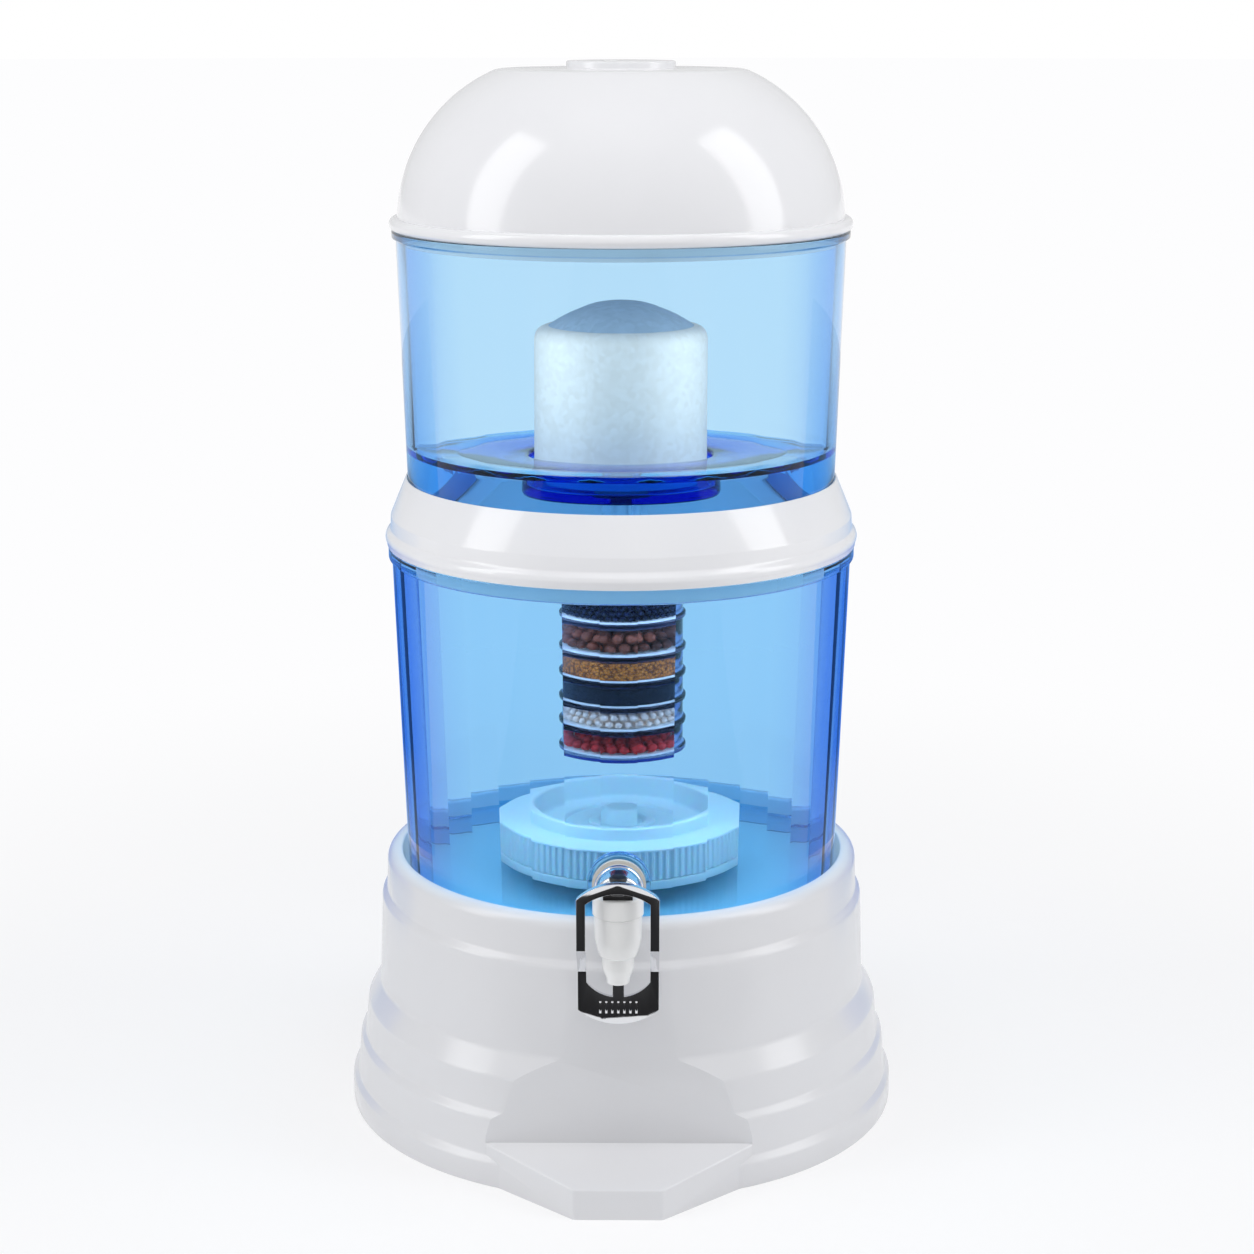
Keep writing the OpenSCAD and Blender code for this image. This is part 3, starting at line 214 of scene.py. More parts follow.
frosted_pp, tree, shader, place = begin(
    "frosted polypropylene",
    {"Base Color": linear("#CBE6F4"), "Roughness": 0.38, "IOR": 1.49, "Transmission Weight": 0.15,
     "Subsurface Weight": 0.25, "Subsurface Scale": 4 * MM},
)
frost = add(tree, "TexNoise", {"Vector": place, "Scale": 1 / (1.2 * MM), "Detail": 3.0})
bump = add(tree, "Bump", {"Height": frost.outputs[0], "Strength": 0.2, "Distance": 0.1 * MM})
tree.links.new(bump.outputs[0], shader.inputs["Normal"])
print("clear plastics:", [m.name for m in (upper_san, lower_san, disc_san, pale_san, deep_san)])

# %% [markdown]
# ## Metals
# The lever and the sleeve are chrome plated: a mirror on a moulded body, so its reflections wobble a
# little. The pin and the spring are drawn stainless wire, which has fine lines along it and is duller.

# %% Chrome and stainless steel
chrome, tree, shader, place = begin("chrome plating", {"Base Color": linear("#E2E3E6"), "Metallic": 1.0})
smear = add(tree, "TexNoise", {"Vector": place, "Scale": 1 / (9 * MM), "Detail": 3.0})
gloss = add(tree, "MapRange", {0: smear.outputs[0], 3: 0.02, 4: 0.08})
tree.links.new(gloss.outputs[0], shader.inputs["Roughness"])
peel = add(tree, "TexNoise", {"Vector": place, "Scale": 1 / (5 * MM), "Detail": 1.0})
bump = add(tree, "Bump", {"Height": peel.outputs[0], "Strength": 0.06, "Distance": 0.2 * MM})
tree.links.new(bump.outputs[0], shader.inputs["Normal"])

stainless, tree, shader, place = begin("drawn stainless steel", {"Base Color": linear("#B9BABC"), "Metallic": 1.0})
lines = add(tree, "TexNoise", {"Vector": place, "Scale": 1 / (0.5 * MM), "Detail": 4.0})
gloss = add(tree, "MapRange", {0: lines.outputs[0], 3: 0.29, 4: 0.45})
tree.links.new(gloss.outputs[0], shader.inputs["Roughness"])
print("metals:", chrome.name, "and", stainless.name)

# %% [markdown]
# ## Ceramic and minerals
# The dome is fired diatomaceous earth: matt, full of pores and faintly speckled. The cups hold glazed
# dark balls, tumbled brown pebbles, tan silica grains, black carbon, white calcium balls and red clay
# balls. Voronoi cells the size of one grain give each grain its own shade.

# %% Ceramic and mineral finishes


def mineral(name, colours, grain_mm, roughness, bump_mm, speck_mm=0.8, lustre=0.3):
    """A mineral in two shades that change from grain to grain, with a fine pitted skin."""
    values = {"Roughness": roughness, "IOR": 1.52, "Specular IOR Level": lustre}
    material, tree, shader, place = begin(name, values)
    cells = add(tree, "TexVoronoi", {"Vector": place, "Scale": 1 / (grain_mm * MM)})
    shade = add(tree, "SeparateColor", {0: cells.outputs["Color"]})
    grain = mix_colours(tree, shade.outputs[0], *colours)
    specks = add(tree, "TexNoise", {"Vector": place, "Scale": 1 / (speck_mm * MM), "Detail": 3.0})
    spots = add(tree, "MapRange", {0: specks.outputs[0], 1: 0.45, 2: 0.75, 3: 0.0, 4: 0.35})
    tree.links.new(mix_colours(tree, spots.outputs[0], grain, colours[1]), shader.inputs["Base Color"])
    bump = add(tree, "Bump", {"Height": specks.outputs[0], "Strength": 0.5, "Distance": bump_mm * MM})
    tree.links.new(bump.outputs[0], shader.inputs["Normal"])
    return material


def grit(name, colours, grain_mm, roughness, bump_mm):
    """A bed of loose grains: cells of grain size are both the colour and the relief, with painted shade in the gaps
    between them.
    """
    material, tree, shader, place = begin(name, {"Roughness": roughness})
    cells = add(tree, "TexVoronoi", {"Vector": place, "Scale": 1 / (grain_mm * MM)})
    shade = add(tree, "SeparateColor", {0: cells.outputs["Color"]})
    # The third colour is painted shade, darkening the gaps between grains.
    shaded_gaps = add(tree, "MapRange", {0: cells.outputs["Distance"], 1: 0.25, 2: 0.75, 3: 0.0, 4: 1.0})
    grain = mix_colours(tree, shade.outputs[0], *colours[:2])
    tree.links.new(mix_colours(tree, shaded_gaps.outputs[0], grain, colours[2]), shader.inputs["Base Color"])
    height = add(tree, "Math", {0: 1.0, 1: cells.outputs["Distance"]}, operation="SUBTRACT")
    bump = add(tree, "Bump", {"Height": height.outputs[0], "Strength": 0.9, "Distance": bump_mm * MM})
    tree.links.new(bump.outputs[0], shader.inputs["Normal"])
    return material


dome_ceramic = mineral("fired ceramic, body", ("#FBF6F2", "#F2ECE6"), 3, 0.8, 0.03)
# The cap's greyer colour is painted shade, standing in for the shade under the lid.
cap_ceramic_shaded = mineral("fired ceramic, cap in painted shade", ("#BACDE0", "#ADC0D3"), 3, 0.85, 0.03)
dark_glaze = mineral("dark glazed balls", ("#1A2140", "#0C1024"), 3.4, 0.3, 0.04, lustre=0.5)
brown_stone = mineral("tumbled brown pebbles", ("#9A4E34", "#502A1C"), 7.5, 0.5, 0.08)
white_calcium = mineral("white calcium balls", ("#FFE4CC", "#E6CDB8"), 5, 0.55, 0.06)
red_clay = mineral("red clay balls", ("#E0322C", "#AC2420"), 6, 0.6, 0.08)
river_stone = mineral("mixed river stone", ("#D3CCBC", "#857C6B"), 12, 0.6, 0.15)
# The third colour of each bed is painted shade for the gaps between grains.
tan_silica = grit("tan silica grains", ("#EA8A2E", "#C4681E", "#743A10"), 1.5, 0.7, 0.5)
black_carbon = grit("activated carbon grains", ("#161E33", "#0A0F1E", "#04060C"), 1.3, 0.55, 0.4)
print("minerals:", [m.name for m in (dark_glaze, brown_stone, tan_silica, black_carbon)])

# %% [markdown]
# ## Turning a profile
# Most of this object is round, as if turned on a lathe. A profile is a chain of points in the plane of
# the axis. Its corners are rounded first, with a vertex bevel, which is far cheaper than bevelling the
# finished ring, and then the chain is spun into a closed skin. Each piece ends in the same way: edges
# that turn sharply stay crisp, all others shade smoothly, and the piece rides on its CAD body.

# %% Lathe and finishing helpers


def lathe(profile, rounds=(), steps=128, closed=True):
    """Spins a profile of (radius, height) in millimetres. rounds lists (size, corner numbers)."""
    bm = bmesh.new()
    points = [bm.verts.new((r * MM, 0, z * MM)) for r, z in profile]
    for a, b in zip(points, points[1:] + points[:1] if closed else points[1:]):
        bm.edges.new((a, b))
    for size, corners in rounds:
        bmesh.ops.bevel(
            bm, geom=[points[i] for i in corners], offset=size * MM, offset_type="OFFSET", affect="VERTICES",
            segments=max(3, min(24, round(size * 1.2))), profile=0.5, material=-1, clamp_overlap=True,
        )
    bmesh.ops.spin(
        bm, geom=bm.verts[:] + bm.edges[:], cent=(0, 0, 0), axis=(0, 0, 1), dvec=(0, 0, 0),
        angle=2 * math.pi, steps=steps, use_merge=True,
    )
    bmesh.ops.remove_doubles(bm, verts=bm.verts[:], dist=0.002 * MM)
    bmesh.ops.recalc_face_normals(bm, faces=bm.faces[:])
    return bm


def move(bm, x=0, y=0, z=0, turn=None):
    """Turns a mesh about the origin, then moves it, in millimetres."""
    if turn:
        bmesh.ops.rotate(bm, verts=bm.verts[:], cent=(0, 0, 0), matrix=Matrix.Rotation(turn[0], 3, turn[1]))
    bmesh.ops.translate(bm, verts=bm.verts[:], vec=(x * MM, y * MM, z * MM))
    return bm


def ease_edges(bm, edges, size, segments=2):
    """Rounds edges by a size in millimetres."""
    bmesh.ops.bevel(
        bm, geom=edges, offset=size * MM, offset_type="OFFSET", affect="EDGES", segments=segments,
        profile=0.5, material=-1, clamp_overlap=True,
    )


def only(kind, geometry):
    """The vertices or the edges among mixed geometry."""
    return [part for part in geometry if isinstance(part, kind)]


def join(first, *others):
    """Adds other meshes to the first one."""
    for other in others:
        mesh = bpy.data.meshes.new("joined")
        other.to_mesh(mesh)
        other.free()
        first.from_mesh(mesh)
        bpy.data.meshes.remove(mesh)
    return first


def piece(bm, name, body, materials, stands_for=(), sharp=32):
    """Makes the finished object: smooth faces, crisp edges, a material and a body."""
    for face in bm.faces:
        face.smooth = True
    for edge in bm.edges:
        if len(edge.link_faces) == 2 and edge.calc_face_angle() > math.radians(sharp):
            edge.smooth = False
    mesh = bpy.data.meshes.new(name)
    bm.to_mesh(mesh)
    bm.free()
    for material in materials:
        mesh.materials.append(material)
    obj = bpy.data.objects.new(name, mesh)
    bpy.context.collection.objects.link(obj)
    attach(obj, body)
    if stands_for:
        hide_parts(*stands_for)
    print(name, "has", len(mesh.polygons), "faces")
    return obj


# %% [markdown]
# ## Joining and cutting solids
# A boss on a tank is one moulding with it. The exact Boolean modifier joins or cuts two closed meshes,
# and its result is read back as a mesh.

# %% Boolean helper


def combine(first, second, how):
    """Joins, cuts or overlaps two closed meshes and returns the result."""
    objects = []
    for bm in (first, second):
        mesh = bpy.data.meshes.new("part of a boolean")
        bm.to_mesh(mesh)
        bm.free()
        objects.append(bpy.data.objects.new("part of a boolean", mesh))
        bpy.context.collection.objects.link(objects[-1])
    step = objects[0].modifiers.new("boolean", "BOOLEAN")
    step.operation, step.solver, step.object = how, "EXACT", objects[1]
    bpy.context.view_layer.update()
    made = objects[0].evaluated_get(bpy.context.evaluated_depsgraph_get()).to_mesh()
    bm = bmesh.new()
    bm.from_mesh(made)
    for obj in objects:
        mesh = obj.data
        bpy.data.objects.remove(obj)
        bpy.data.meshes.remove(mesh)
    return bm


def block(x0, x1, y0, y1, z0, z1):
    """A box between two corners, in millimetres."""
    bm = bmesh.new()
    bmesh.ops.create_cube(bm, size=1)
    bmesh.ops.scale(bm, vec=((x1 - x0) * MM, (y1 - y0) * MM, (z1 - z0) * MM), verts=bm.verts[:])
    return move(bm, (x0 + x1) / 2, (y0 + y1) / 2, (z0 + z1) / 2)


# %% [markdown]
# ## Small parts straight from the CAD
# A nut, a bracket or a pin already has its right shape in the frame, but as loose triangles with hard
# edges. A copy is merged, its flat faces are made whole again and its edges are eased, because no
# moulded or turned edge is truly sharp.

# %% Copy a CAD part with eased edges


def eased_copy(node, ease=0.0, sharp=32, segments=2):
    """A merged copy of a CAD node whose sharp edges are bevelled by ease, in millimetres."""
    bm = bmesh.new()
    bm.from_mesh(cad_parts[node].data)
    bmesh.ops.remove_doubles(bm, verts=bm.verts[:], dist=0.002 * MM)
    if ease:
        bmesh.ops.dissolve_limit(bm, angle_limit=math.radians(0.5), verts=bm.verts[:], edges=bm.edges[:])
        crisp = [e for e in bm.edges if len(e.link_faces) == 2 and e.calc_face_angle() > math.radians(sharp)]
        ease_edges(bm, crisp, ease, segments)
    return bm


print("CAD lever has", len(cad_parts["tap_lever"].data.polygons), "loose triangles")

# %% [markdown]
# ## Lid
# The lid is one thick dome: a shoulder of 90.1 mm radius that starts nearly upright and meets the flat
# crown at an angle, a low disc on the crown, and a half-round bead that covers the tank's rim. A bevel
# only makes a true arc at a square corner, so the two shoulder arcs are written out point by point.

# %% Lid


def arc(centre_r, centre_z, radius, start, end, count):
    """Points of an arc in the profile's plane, between two angles in degrees."""
    turns = [math.radians(start + (end - start) * k / count) for k in range(count + 1)]
    return [(centre_r + radius * math.cos(t), centre_z + radius * math.sin(t)) for t in turns]


crown = lid_top - 4.2
under = [
    (0, crown - 2.5), *arc(33.9, crown - 83.4, 87.6, 67.45, 0, 40), (122.0, upper_rim + 2.5),
    (118.8, upper_rim + 2.5), (118.8, upper_rim - 7), (121.3, upper_rim - 7), (121.3, upper_rim),
    (128.5, upper_rim), (128.5, upper_rim + 7),
]
over = [*arc(33.9, crown - 83.4, 90.1, 2.35, 67.76, 40), (30, crown), (30, lid_top), (0, lid_top)]
n = len(under)
lid_bm = lathe(
    under + over,
    rounds=[(3.3, [n - 2, n - 1]), (0.6, [n - 5, n - 4]), (2, [n + 40]), (0.9, [n + 41, n + 42])],
    steps=192, closed=False,
)
dimple = bmesh.new()
bmesh.ops.create_uvsphere(dimple, u_segments=32, v_segments=16, radius=4.5 * MM)
bmesh.ops.scale(dimple, vec=(1, 1, 0.35), verts=dimple.verts[:])
lid_bm = combine(lid_bm, move(dimple, -5.5, -1, lid_top + 0.5), "DIFFERENCE")
piece(lid_bm, "lid_dome", "lid", [white_abs], ["lid"])

# %% [markdown]
# ## Upper tank
# The wall leans out a little so that it leaves the mould, and the rim has a flange. Outside the wall is
# round, but inside it has upright flats, which break what is behind it into strips. The skin is spun
# with five or seven steps to a flat, and its inner vertices are moved two fifths of the way out towards
# true flats, with a crisp edge where two of them meet. The floor has a thicker disc in the middle with a
# round well for the ceramic filter. It looks darker, because light crosses more plastic there.

# %% Flats inside a tank wall
FLATNESS = 0.4


def inner_flats(bm, count, is_inner):
    """Moves the inner wall's vertices out towards flats and keeps the edges between flats crisp."""
    corners = set()
    for vert in bm.verts:
        if is_inner(math.hypot(vert.co.x, vert.co.y) / MM, vert.co.z / MM):
            off = math.degrees(math.atan2(vert.co.y, vert.co.x)) % (360 / count)
            off = min(off, 360 / count - off)
            stretch = 1 + FLATNESS * (1 / math.cos(math.radians(off)) - 1)
            vert.co.x, vert.co.y = vert.co.x * stretch, vert.co.y * stretch
            if off > 180 / count - 0.3:
                corners.add(vert)
    seams = [e for e in bm.edges if e.verts[0] in corners and e.verts[1] in corners]
    for edge in seams:
        edge.smooth = False
    print("flats meet along", len(seams), "edges")


# %% Upper tank
floor = upper_foot + 24.2
upper_bm = lathe(
    [(117.5, upper_foot), (120.7, upper_foot), (124.9, upper_rim - 5), (127.2, upper_rim - 3.85),
     (127.2, upper_rim), (121.9, upper_rim), (118.3, floor + 2), (117.9, floor - 6)],
    rounds=[(0.6, [0, 1]), (1.0, [4, 5]), (1.5, [6]), (0.5, [2, 3])],
    steps=24 * 7,
)
move(upper_bm, turn=(math.radians(360 / 24 / 14), "Z"))
inner_flats(upper_bm, 24, lambda r, z: floor + 1 < z < upper_rim - 2 and r < 122.5)
upper_tank = piece(upper_bm, "upper_tank_shell", "upper_tank", [upper_san], ["upper_tank"])

# %% Upper tank floor
ring_bm = lathe(
    [(91.4, floor - 3.5), (118.1, floor - 3.5), (118.4, floor), (91.4, floor)], rounds=[(0.3, [0, 3])], steps=168,
)
piece(ring_bm, "upper_tank_floor", "upper_tank", [pale_san])
disc_bm = lathe(
    [(91.5, floor - 4.5), (91.5, floor - 0.2), (90.5, floor), (54, floor - 0.6), (52.5, floor - 2.1),
     (52.5, floor - 17), (6.2, floor - 17), (6.2, floor - 20.5), (56, floor - 20.5), (56, floor - 4.5)],
    rounds=[(0.3, [0, 1, 2]), (0.5, [3, 4]), (1.5, [5, 8])],
    steps=168,
)
piece(disc_bm, "upper_tank_disc", "upper_tank", [disc_san])

# %% [markdown]
# ## Collar
# The collar drops into the lower tank and holds the upper one. Outside it is a bead, a narrow band and a
# cone; inside it has a ledge for the upper tank's foot. The wall is thin, so the profile goes all round.

# %% Collar
bead, band = lower_rim + 4.6, lower_rim + 9.5
collar_bm = lathe(
    [(123.8, lower_rim - 7.5), (126.8, lower_rim - 7.5), (126.8, lower_rim), (133.1, lower_rim),
     (133.3, bead - 2.3), (134, bead - 1), (134, bead + 1), (133.3, bead + 2.6), (132, bead + 3.5),
     (131.1, band), (130.8, band + 7.3), (122.04, collar_top), (121.24, collar_top), (121.24, upper_foot),
     (114.2, upper_foot), (114.2, upper_foot - 3), (121.2, upper_foot - 3), (127.8, band + 5.8),
     (127.8, band - 3), (123.8, lower_rim + 3)],
    rounds=[(0.9, [5, 6]), (0.4, [3, 9]), (0.5, [10]), (0.3, [11, 12, 14, 15]), (0.5, [0, 1])],
    steps=192,
)
piece(collar_bm, "collar_ring", "collar", [white_abs], ["collar"])

# %% [markdown]
# ## Lower tank
# The lower tank is made in the same way, with forty narrower flats and a deeper colour. Its floor is a
# separate disc, because a floor seen at a slant would take the deep blue of the wall's edges. A round
# boss carries the tap. The wall has two more rings of vertices round the boss's height, so that joining
# the boss only changes the faces near it.

# %% Lower tank
tap_height = (low("tap_sleeve") + high("tap_sleeve")) / 2
SLOPE, OUTSIDE_R, BOSS_R = 6.4 / 193, 124.1, 18.5
outer_wall, inner_wall = [
    [(r + SLOPE * (z - lower_foot), z) for z in (tap_height - BOSS_R, tap_height + BOSS_R)]
    for r in (OUTSIDE_R, 120.92)
]
lower_bm = lathe(
    [(120.9, lower_foot), (OUTSIDE_R, lower_foot), *outer_wall, (130.5, lower_rim - 8), (132.5, lower_rim - 7),
     (132.5, lower_rim), (127.59, lower_rim), *inner_wall[::-1], (121.36, lower_foot + 13.5),
     (120.9, lower_foot + 9)],
    rounds=[(2, [10]), (1.0, [6, 7]), (0.5, [0, 1, 4, 5])],
    steps=40 * 5,
)
move(lower_bm, turn=(math.radians(0.9), "Z"))
inner_flats(
    lower_bm, 40, lambda r, z: z > lower_foot + 13 and r < OUTSIDE_R + SLOPE * (z - lower_foot) - 2.2,
)
boss_outline = [(0, -127.17), (17, -127.17), (17, -119.57), (0, -119.57)]
boss = lathe(boss_outline, [(0.5, [1, 2])], steps=48, closed=False)
lower_bm = combine(lower_bm, move(boss, z=tap_height, turn=(math.radians(-90), "X")), "UNION")
lower_tank = piece(lower_bm, "lower_tank_shell", "lower_tank", [lower_san], ["lower_tank"])
disc_bm = lathe(
    [(0, lower_foot + 10), (121.3, lower_foot + 10), (121.4, lower_foot + 13.5), (0, lower_foot + 13.5)],
    steps=200, closed=False,
)
piece(disc_bm, "lower_tank_floor", "lower_tank", [deep_san])

# %% [markdown]
# ## Base
# The base is one hollow moulding: a foot, three drafted tiers and a rolled rim, with a flat wall in
# front that cuts through the tiers, and a low step for a cup. It is built as two solids, the outside
# and the hollow, each with the same cuts, and the hollow is taken away at the end. The step's edges are
# bevelled before it is joined, because a bevel is cleaner on a simple block.

# %% Base: round tiers, outside and hollow


def tiers(t):
    """Radius and height of each tier's corners, moved in by t."""
    return [
        (160 - t, 13.5 - t), (156.9 - t, 17 - t), (154.9 - t, 37.5 - t), (151.9 - t, 41 - t),
        (149.9 - t, 60.5 - t), (142.4 - t, 73 - t), (140.4 - t, 125 - t), (137.6 - t, 128.5 - t),
    ]


rim = high("base_stand")
outside = lathe(
    [(0, 0), (160, 0), *tiers(0), (136.6, rim), (128.1, rim), (125.1, lower_foot), (0, lower_foot)],
    rounds=[(0.8, [1, 3, 5, 9]), (1.0, [2]), (1.2, [4, 6]), (1.5, [7]), (1.4, [8]), (6.2, [10]), (1.2, [11])],
    steps=192, closed=False,
)
hollow = lathe(
    [(0, -5), (157, -5), *tiers(3), (132.6, rim - 4), (131.1, rim - 4), (128.1, lower_foot - 3),
     (0, lower_foot - 3)],
    steps=96, closed=False,
)
print("base outside has", len(outside.faces), "faces")

# %% Base: flat front wall and cup step
LEAN, TIER_TOP, WALL_Y = math.atan2(1.4, 52), 125, -140.4


def cut_front(solid, back, start):
    """Cuts the flat, leaning wall from a height up, moved back by the wall's thickness for the hollow."""
    cutter = move(block(-73, 73, -60, 0, start - TIER_TOP, 30), turn=(LEAN, "X"))
    return combine(solid, move(cutter, 0, WALL_Y + back, TIER_TOP), "DIFFERENCE")


outside = cut_front(outside, 0, 17)
hollow = cut_front(hollow, 3, 14)


def step_block(t, back, bottom, ease):
    """The cup step, moved in by t: its plan is pushed up, cut by the sloping top and eased."""
    side, shift = t * 1.504, t * 1.1236
    half_back, half_front = 73 - side, 23.9 - side + shift
    plan = [(-half_back, back), (-half_back, -139), (-half_front, -182.7 + t),
            (half_front, -182.7 + t), (half_back, -139), (half_back, back)]
    bm = bmesh.new()
    face = bm.faces.new([bm.verts.new((x * MM, y * MM, bottom * MM)) for x, y in plan])
    pushed = bmesh.ops.extrude_face_region(bm, geom=[face])
    bmesh.ops.translate(bm, verts=only(bmesh.types.BMVert, pushed["geom"]), vec=(0, 0, 40 * MM))
    cut = bmesh.ops.bisect_plane(
        bm, geom=bm.verts[:] + bm.edges[:] + bm.faces[:], plane_co=(0, -139 * MM, (23.2 - t * 1.01) * MM),
        plane_no=(0, -0.1419, 1), clear_outer=True,
    )
    bmesh.ops.contextual_create(bm, geom=only(bmesh.types.BMEdge, cut["geom_cut"]))
    bmesh.ops.recalc_face_normals(bm, faces=bm.faces[:])
    if ease:
        ends = [(e, [v.co for v in e.verts]) for e in bm.edges]
        in_front = [e for e, (a, b) in ends if min(a.y, b.y) < -139.5 * MM and max(a.z, b.z) > 1 * MM]
        ease_edges(bm, in_front, ease, 3)
    return bm


outside = combine(outside, step_block(0, -137.2, 0, 1.0), "UNION")
hollow = combine(hollow, step_block(3, -134, -5, 0), "UNION")
base_bm = combine(outside, hollow, "DIFFERENCE")
print("base shell", len(base_bm.faces), "faces")

# %% Base: ribs under the deck
deck = lower_foot - 3
ribs = lathe([(17.5, deck - 16), (20, deck - 16), (20, deck + 0.5), (17.5, deck + 0.5)], steps=48)
for number in range(8):
    rib = block(19, 137.6, -1.25, 1.25, deck - 16, deck + 0.5)
    ribs = join(ribs, move(rib, turn=(math.radians(45 * number + 22.5), "Z")))
piece(join(base_bm, ribs), "base_moulding", "base", [base_abs], ["base_stand"], sharp=25)

# %% [markdown]
# ## Ceramic filter
# The dome is a thick cup of ceramic turned upside down. Its body is a lathe shape with a rounded
# shoulder; its cap is a slice of a large sphere, cut off with a plane, in a greyer, bluer colour that is
# painted shade for the lid above it. It stands on a plastic plate whose hollow stem goes through the
# floor of the tank.

# %% Ceramic dome, cap and plate
dome_foot = low("ceramic_dome")
shoulder = dome_foot + 78
dome_bm = lathe(
    [(40.2, dome_foot), (48.2, dome_foot), (48.2, shoulder), (39.9, shoulder), (36, shoulder - 1.5),
     (40.2, shoulder - 12)],
    rounds=[(7.6, [2]), (0.8, [1])],
)
piece(dome_bm, "ceramic_dome_body", "upper_tank", [dome_ceramic], ["ceramic_dome"])

cap_rise = high("ceramic_dome") - shoulder
ball = (40.2**2 + cap_rise**2) / (2 * cap_rise)
cap_bm = bmesh.new()
bmesh.ops.create_uvsphere(cap_bm, u_segments=96, v_segments=128, radius=ball * MM)
cut = bmesh.ops.bisect_plane(
    cap_bm, geom=cap_bm.verts[:] + cap_bm.edges[:] + cap_bm.faces[:],
    plane_co=(0, 0, (ball - cap_rise - 0.8) * MM), plane_no=(0, 0, 1), clear_inner=True,
)
bmesh.ops.contextual_create(cap_bm, geom=only(bmesh.types.BMEdge, cut["geom_cut"]))
move(cap_bm, z=high("ceramic_dome") - ball)
piece(cap_bm, "ceramic_dome_cap", "upper_tank", [cap_ceramic_shaded])

plate = low("ceramic_base")
plate_bm = lathe(
    [(6.05, plate), (49, plate), (49, plate + 4), (39.8, plate + 4), (39.8, plate + 12), (6.05, plate + 12)],
    rounds=[(1.0, [1, 2]), (0.6, [4])],
)
piece(plate_bm, "ceramic_base_plate", "upper_tank", [natural_pp], ["ceramic_base"])
print("cap sphere radius", round(ball, 1), "mm")

# %% Ceramic filter: parts eased from the CAD
for node, slot_name, material, ease in (
    ("carbon_core", "carbon", black_carbon, 0.6),
    ("ceramic_stem", "natural_plastic", natural_pp, 0.4),
    ("ceramic_washer", "seal_rubber", silicone, 0.3),
    ("stem_washer", "seal_rubber", silicone, 0.3),
    ("stem_nut", "white_gloss", white_abs, 0.4),
):
    piece(eased_copy(node, ease), node + "_eased", "upper_tank", [material], [node])

# %% [markdown]
# ## Mineral cartridge
# Six clear cups snap together under a cap. Each has a ring that stands out near its foot, which reads as
# a dark line, and a felt pad on its floor. The bottom rows of balls lie against the wall and the top
# row covers the whole bed, because only those show.

# %% Cups and cap
WALL_R, RING_R, INSIDE_R = 37.0, 38.3, 33.6
CUPS = ["cup_red", "cup_white", "cup_carbon", "cup_grain", "cup_pebble", "cup_dark"]
cup_foot, cup_top = {}, {}
for number, node in enumerate(CUPS):
    snap = 0 if number == 0 else 1.5
    foot, top = low(node) + snap, high(node)
    cup_foot[node], cup_top[node] = foot, top
    spigot = [(0, foot - snap), (33.4, foot - snap), (33.4, foot)] if snap else [(0, foot)]
    cup_bm = lathe(
        [*spigot, (WALL_R, foot), (RING_R, foot + 0.4), (RING_R, foot + 2.5), (WALL_R, foot + 2.9),
         (WALL_R, top), (INSIDE_R, top), (INSIDE_R, foot + 2), (0, foot + 2)],
        rounds=[(0.35, [len(spigot) + k for k in (1, 2, 4, 5)])], steps=96, closed=False,
    )
    piece(cup_bm, node + "_clear", "upper_tank", [clear_acrylic], [node])
cap_bm = eased_copy("cartridge_cap", 0.3)
piece(cap_bm, "cartridge_cap_clear", "upper_tank", [clear_acrylic], ["cartridge_cap"])
piece(eased_copy("felt_pads", 0.3), "felt_pads_soft", "upper_tank", [felt], ["felt_pads"])

# %% Balls and pebbles


def bed_of(node, material, cup, size, squash, seed):
    """Fills a cup with slightly uneven balls of one size, in millimetres."""
    rng = random.Random(seed)
    bm = bmesh.new()
    bottom, top = cup_foot[cup] + 3.1, cup_top[cup] - 2.0
    rows = max(1, int((top - bottom - size) / (0.86 * size)) + 1)
    for row in range(rows):
        height = bottom + size / 2 + row * 0.86 * size
        rings = range(0, 9) if row == rows - 1 else range(0, 2)
        for ring in rings:
            radius = INSIDE_R - 0.3 - size * 0.52 - ring * size * 0.93
            if radius < 0:
                break
            count = max(1, int(2 * math.pi * radius / (size * 1.02)))
            for k in range(count):
                angle = 2 * math.pi * (k + row / 2 + ring / 3) / count
                scale = rng.uniform(0.86, 1.0)
                shape = (scale * rng.uniform(0.94, 1), scale, scale * rng.uniform(squash, 1))
                up = height + rng.uniform(-0.04, 0.04) * size
                place = Matrix.Translation(
                    (radius * math.cos(angle) * MM, radius * math.sin(angle) * MM, up * MM)
                )
                spun = Matrix.Rotation(rng.uniform(0, 3.14), 4, "Z")
                turn = spun @ Matrix.Rotation(rng.uniform(-0.5, 0.5), 4, "X")
                bmesh.ops.create_icosphere(
                    bm, subdivisions=2 if size > 5 else 1, radius=size / 2 * MM,
                    matrix=place @ turn @ Matrix.Diagonal((*shape, 1)),
                )
    core_r, core_top = INSIDE_R - size * 1.2, bottom + (rows - 0.6) * 0.86 * size
    core = lathe([(0, bottom), (core_r, bottom), (core_r, core_top), (0, core_top)], steps=48, closed=False)
    return piece(join(bm, core), node + "_bed", "upper_tank", [material], [node], sharp=80)


bed_of("dark_balls", dark_glaze, "cup_dark", 3.4, 0.9, 11)
bed_of("brown_pebbles", brown_stone, "cup_pebble", 6.2, 0.72, 12)
bed_of("white_balls", white_calcium, "cup_white", 4.4, 0.85, 13)
bed_of("red_balls", red_clay, "cup_red", 5.6, 0.85, 14)

# %% [markdown]
# ## Fine grains
# Sand and carbon grains are too small to model one by one. Each bed is a low cylinder, divided finely
# at its wall and top, whose skin is pushed in and out a little, and the material draws the grains.

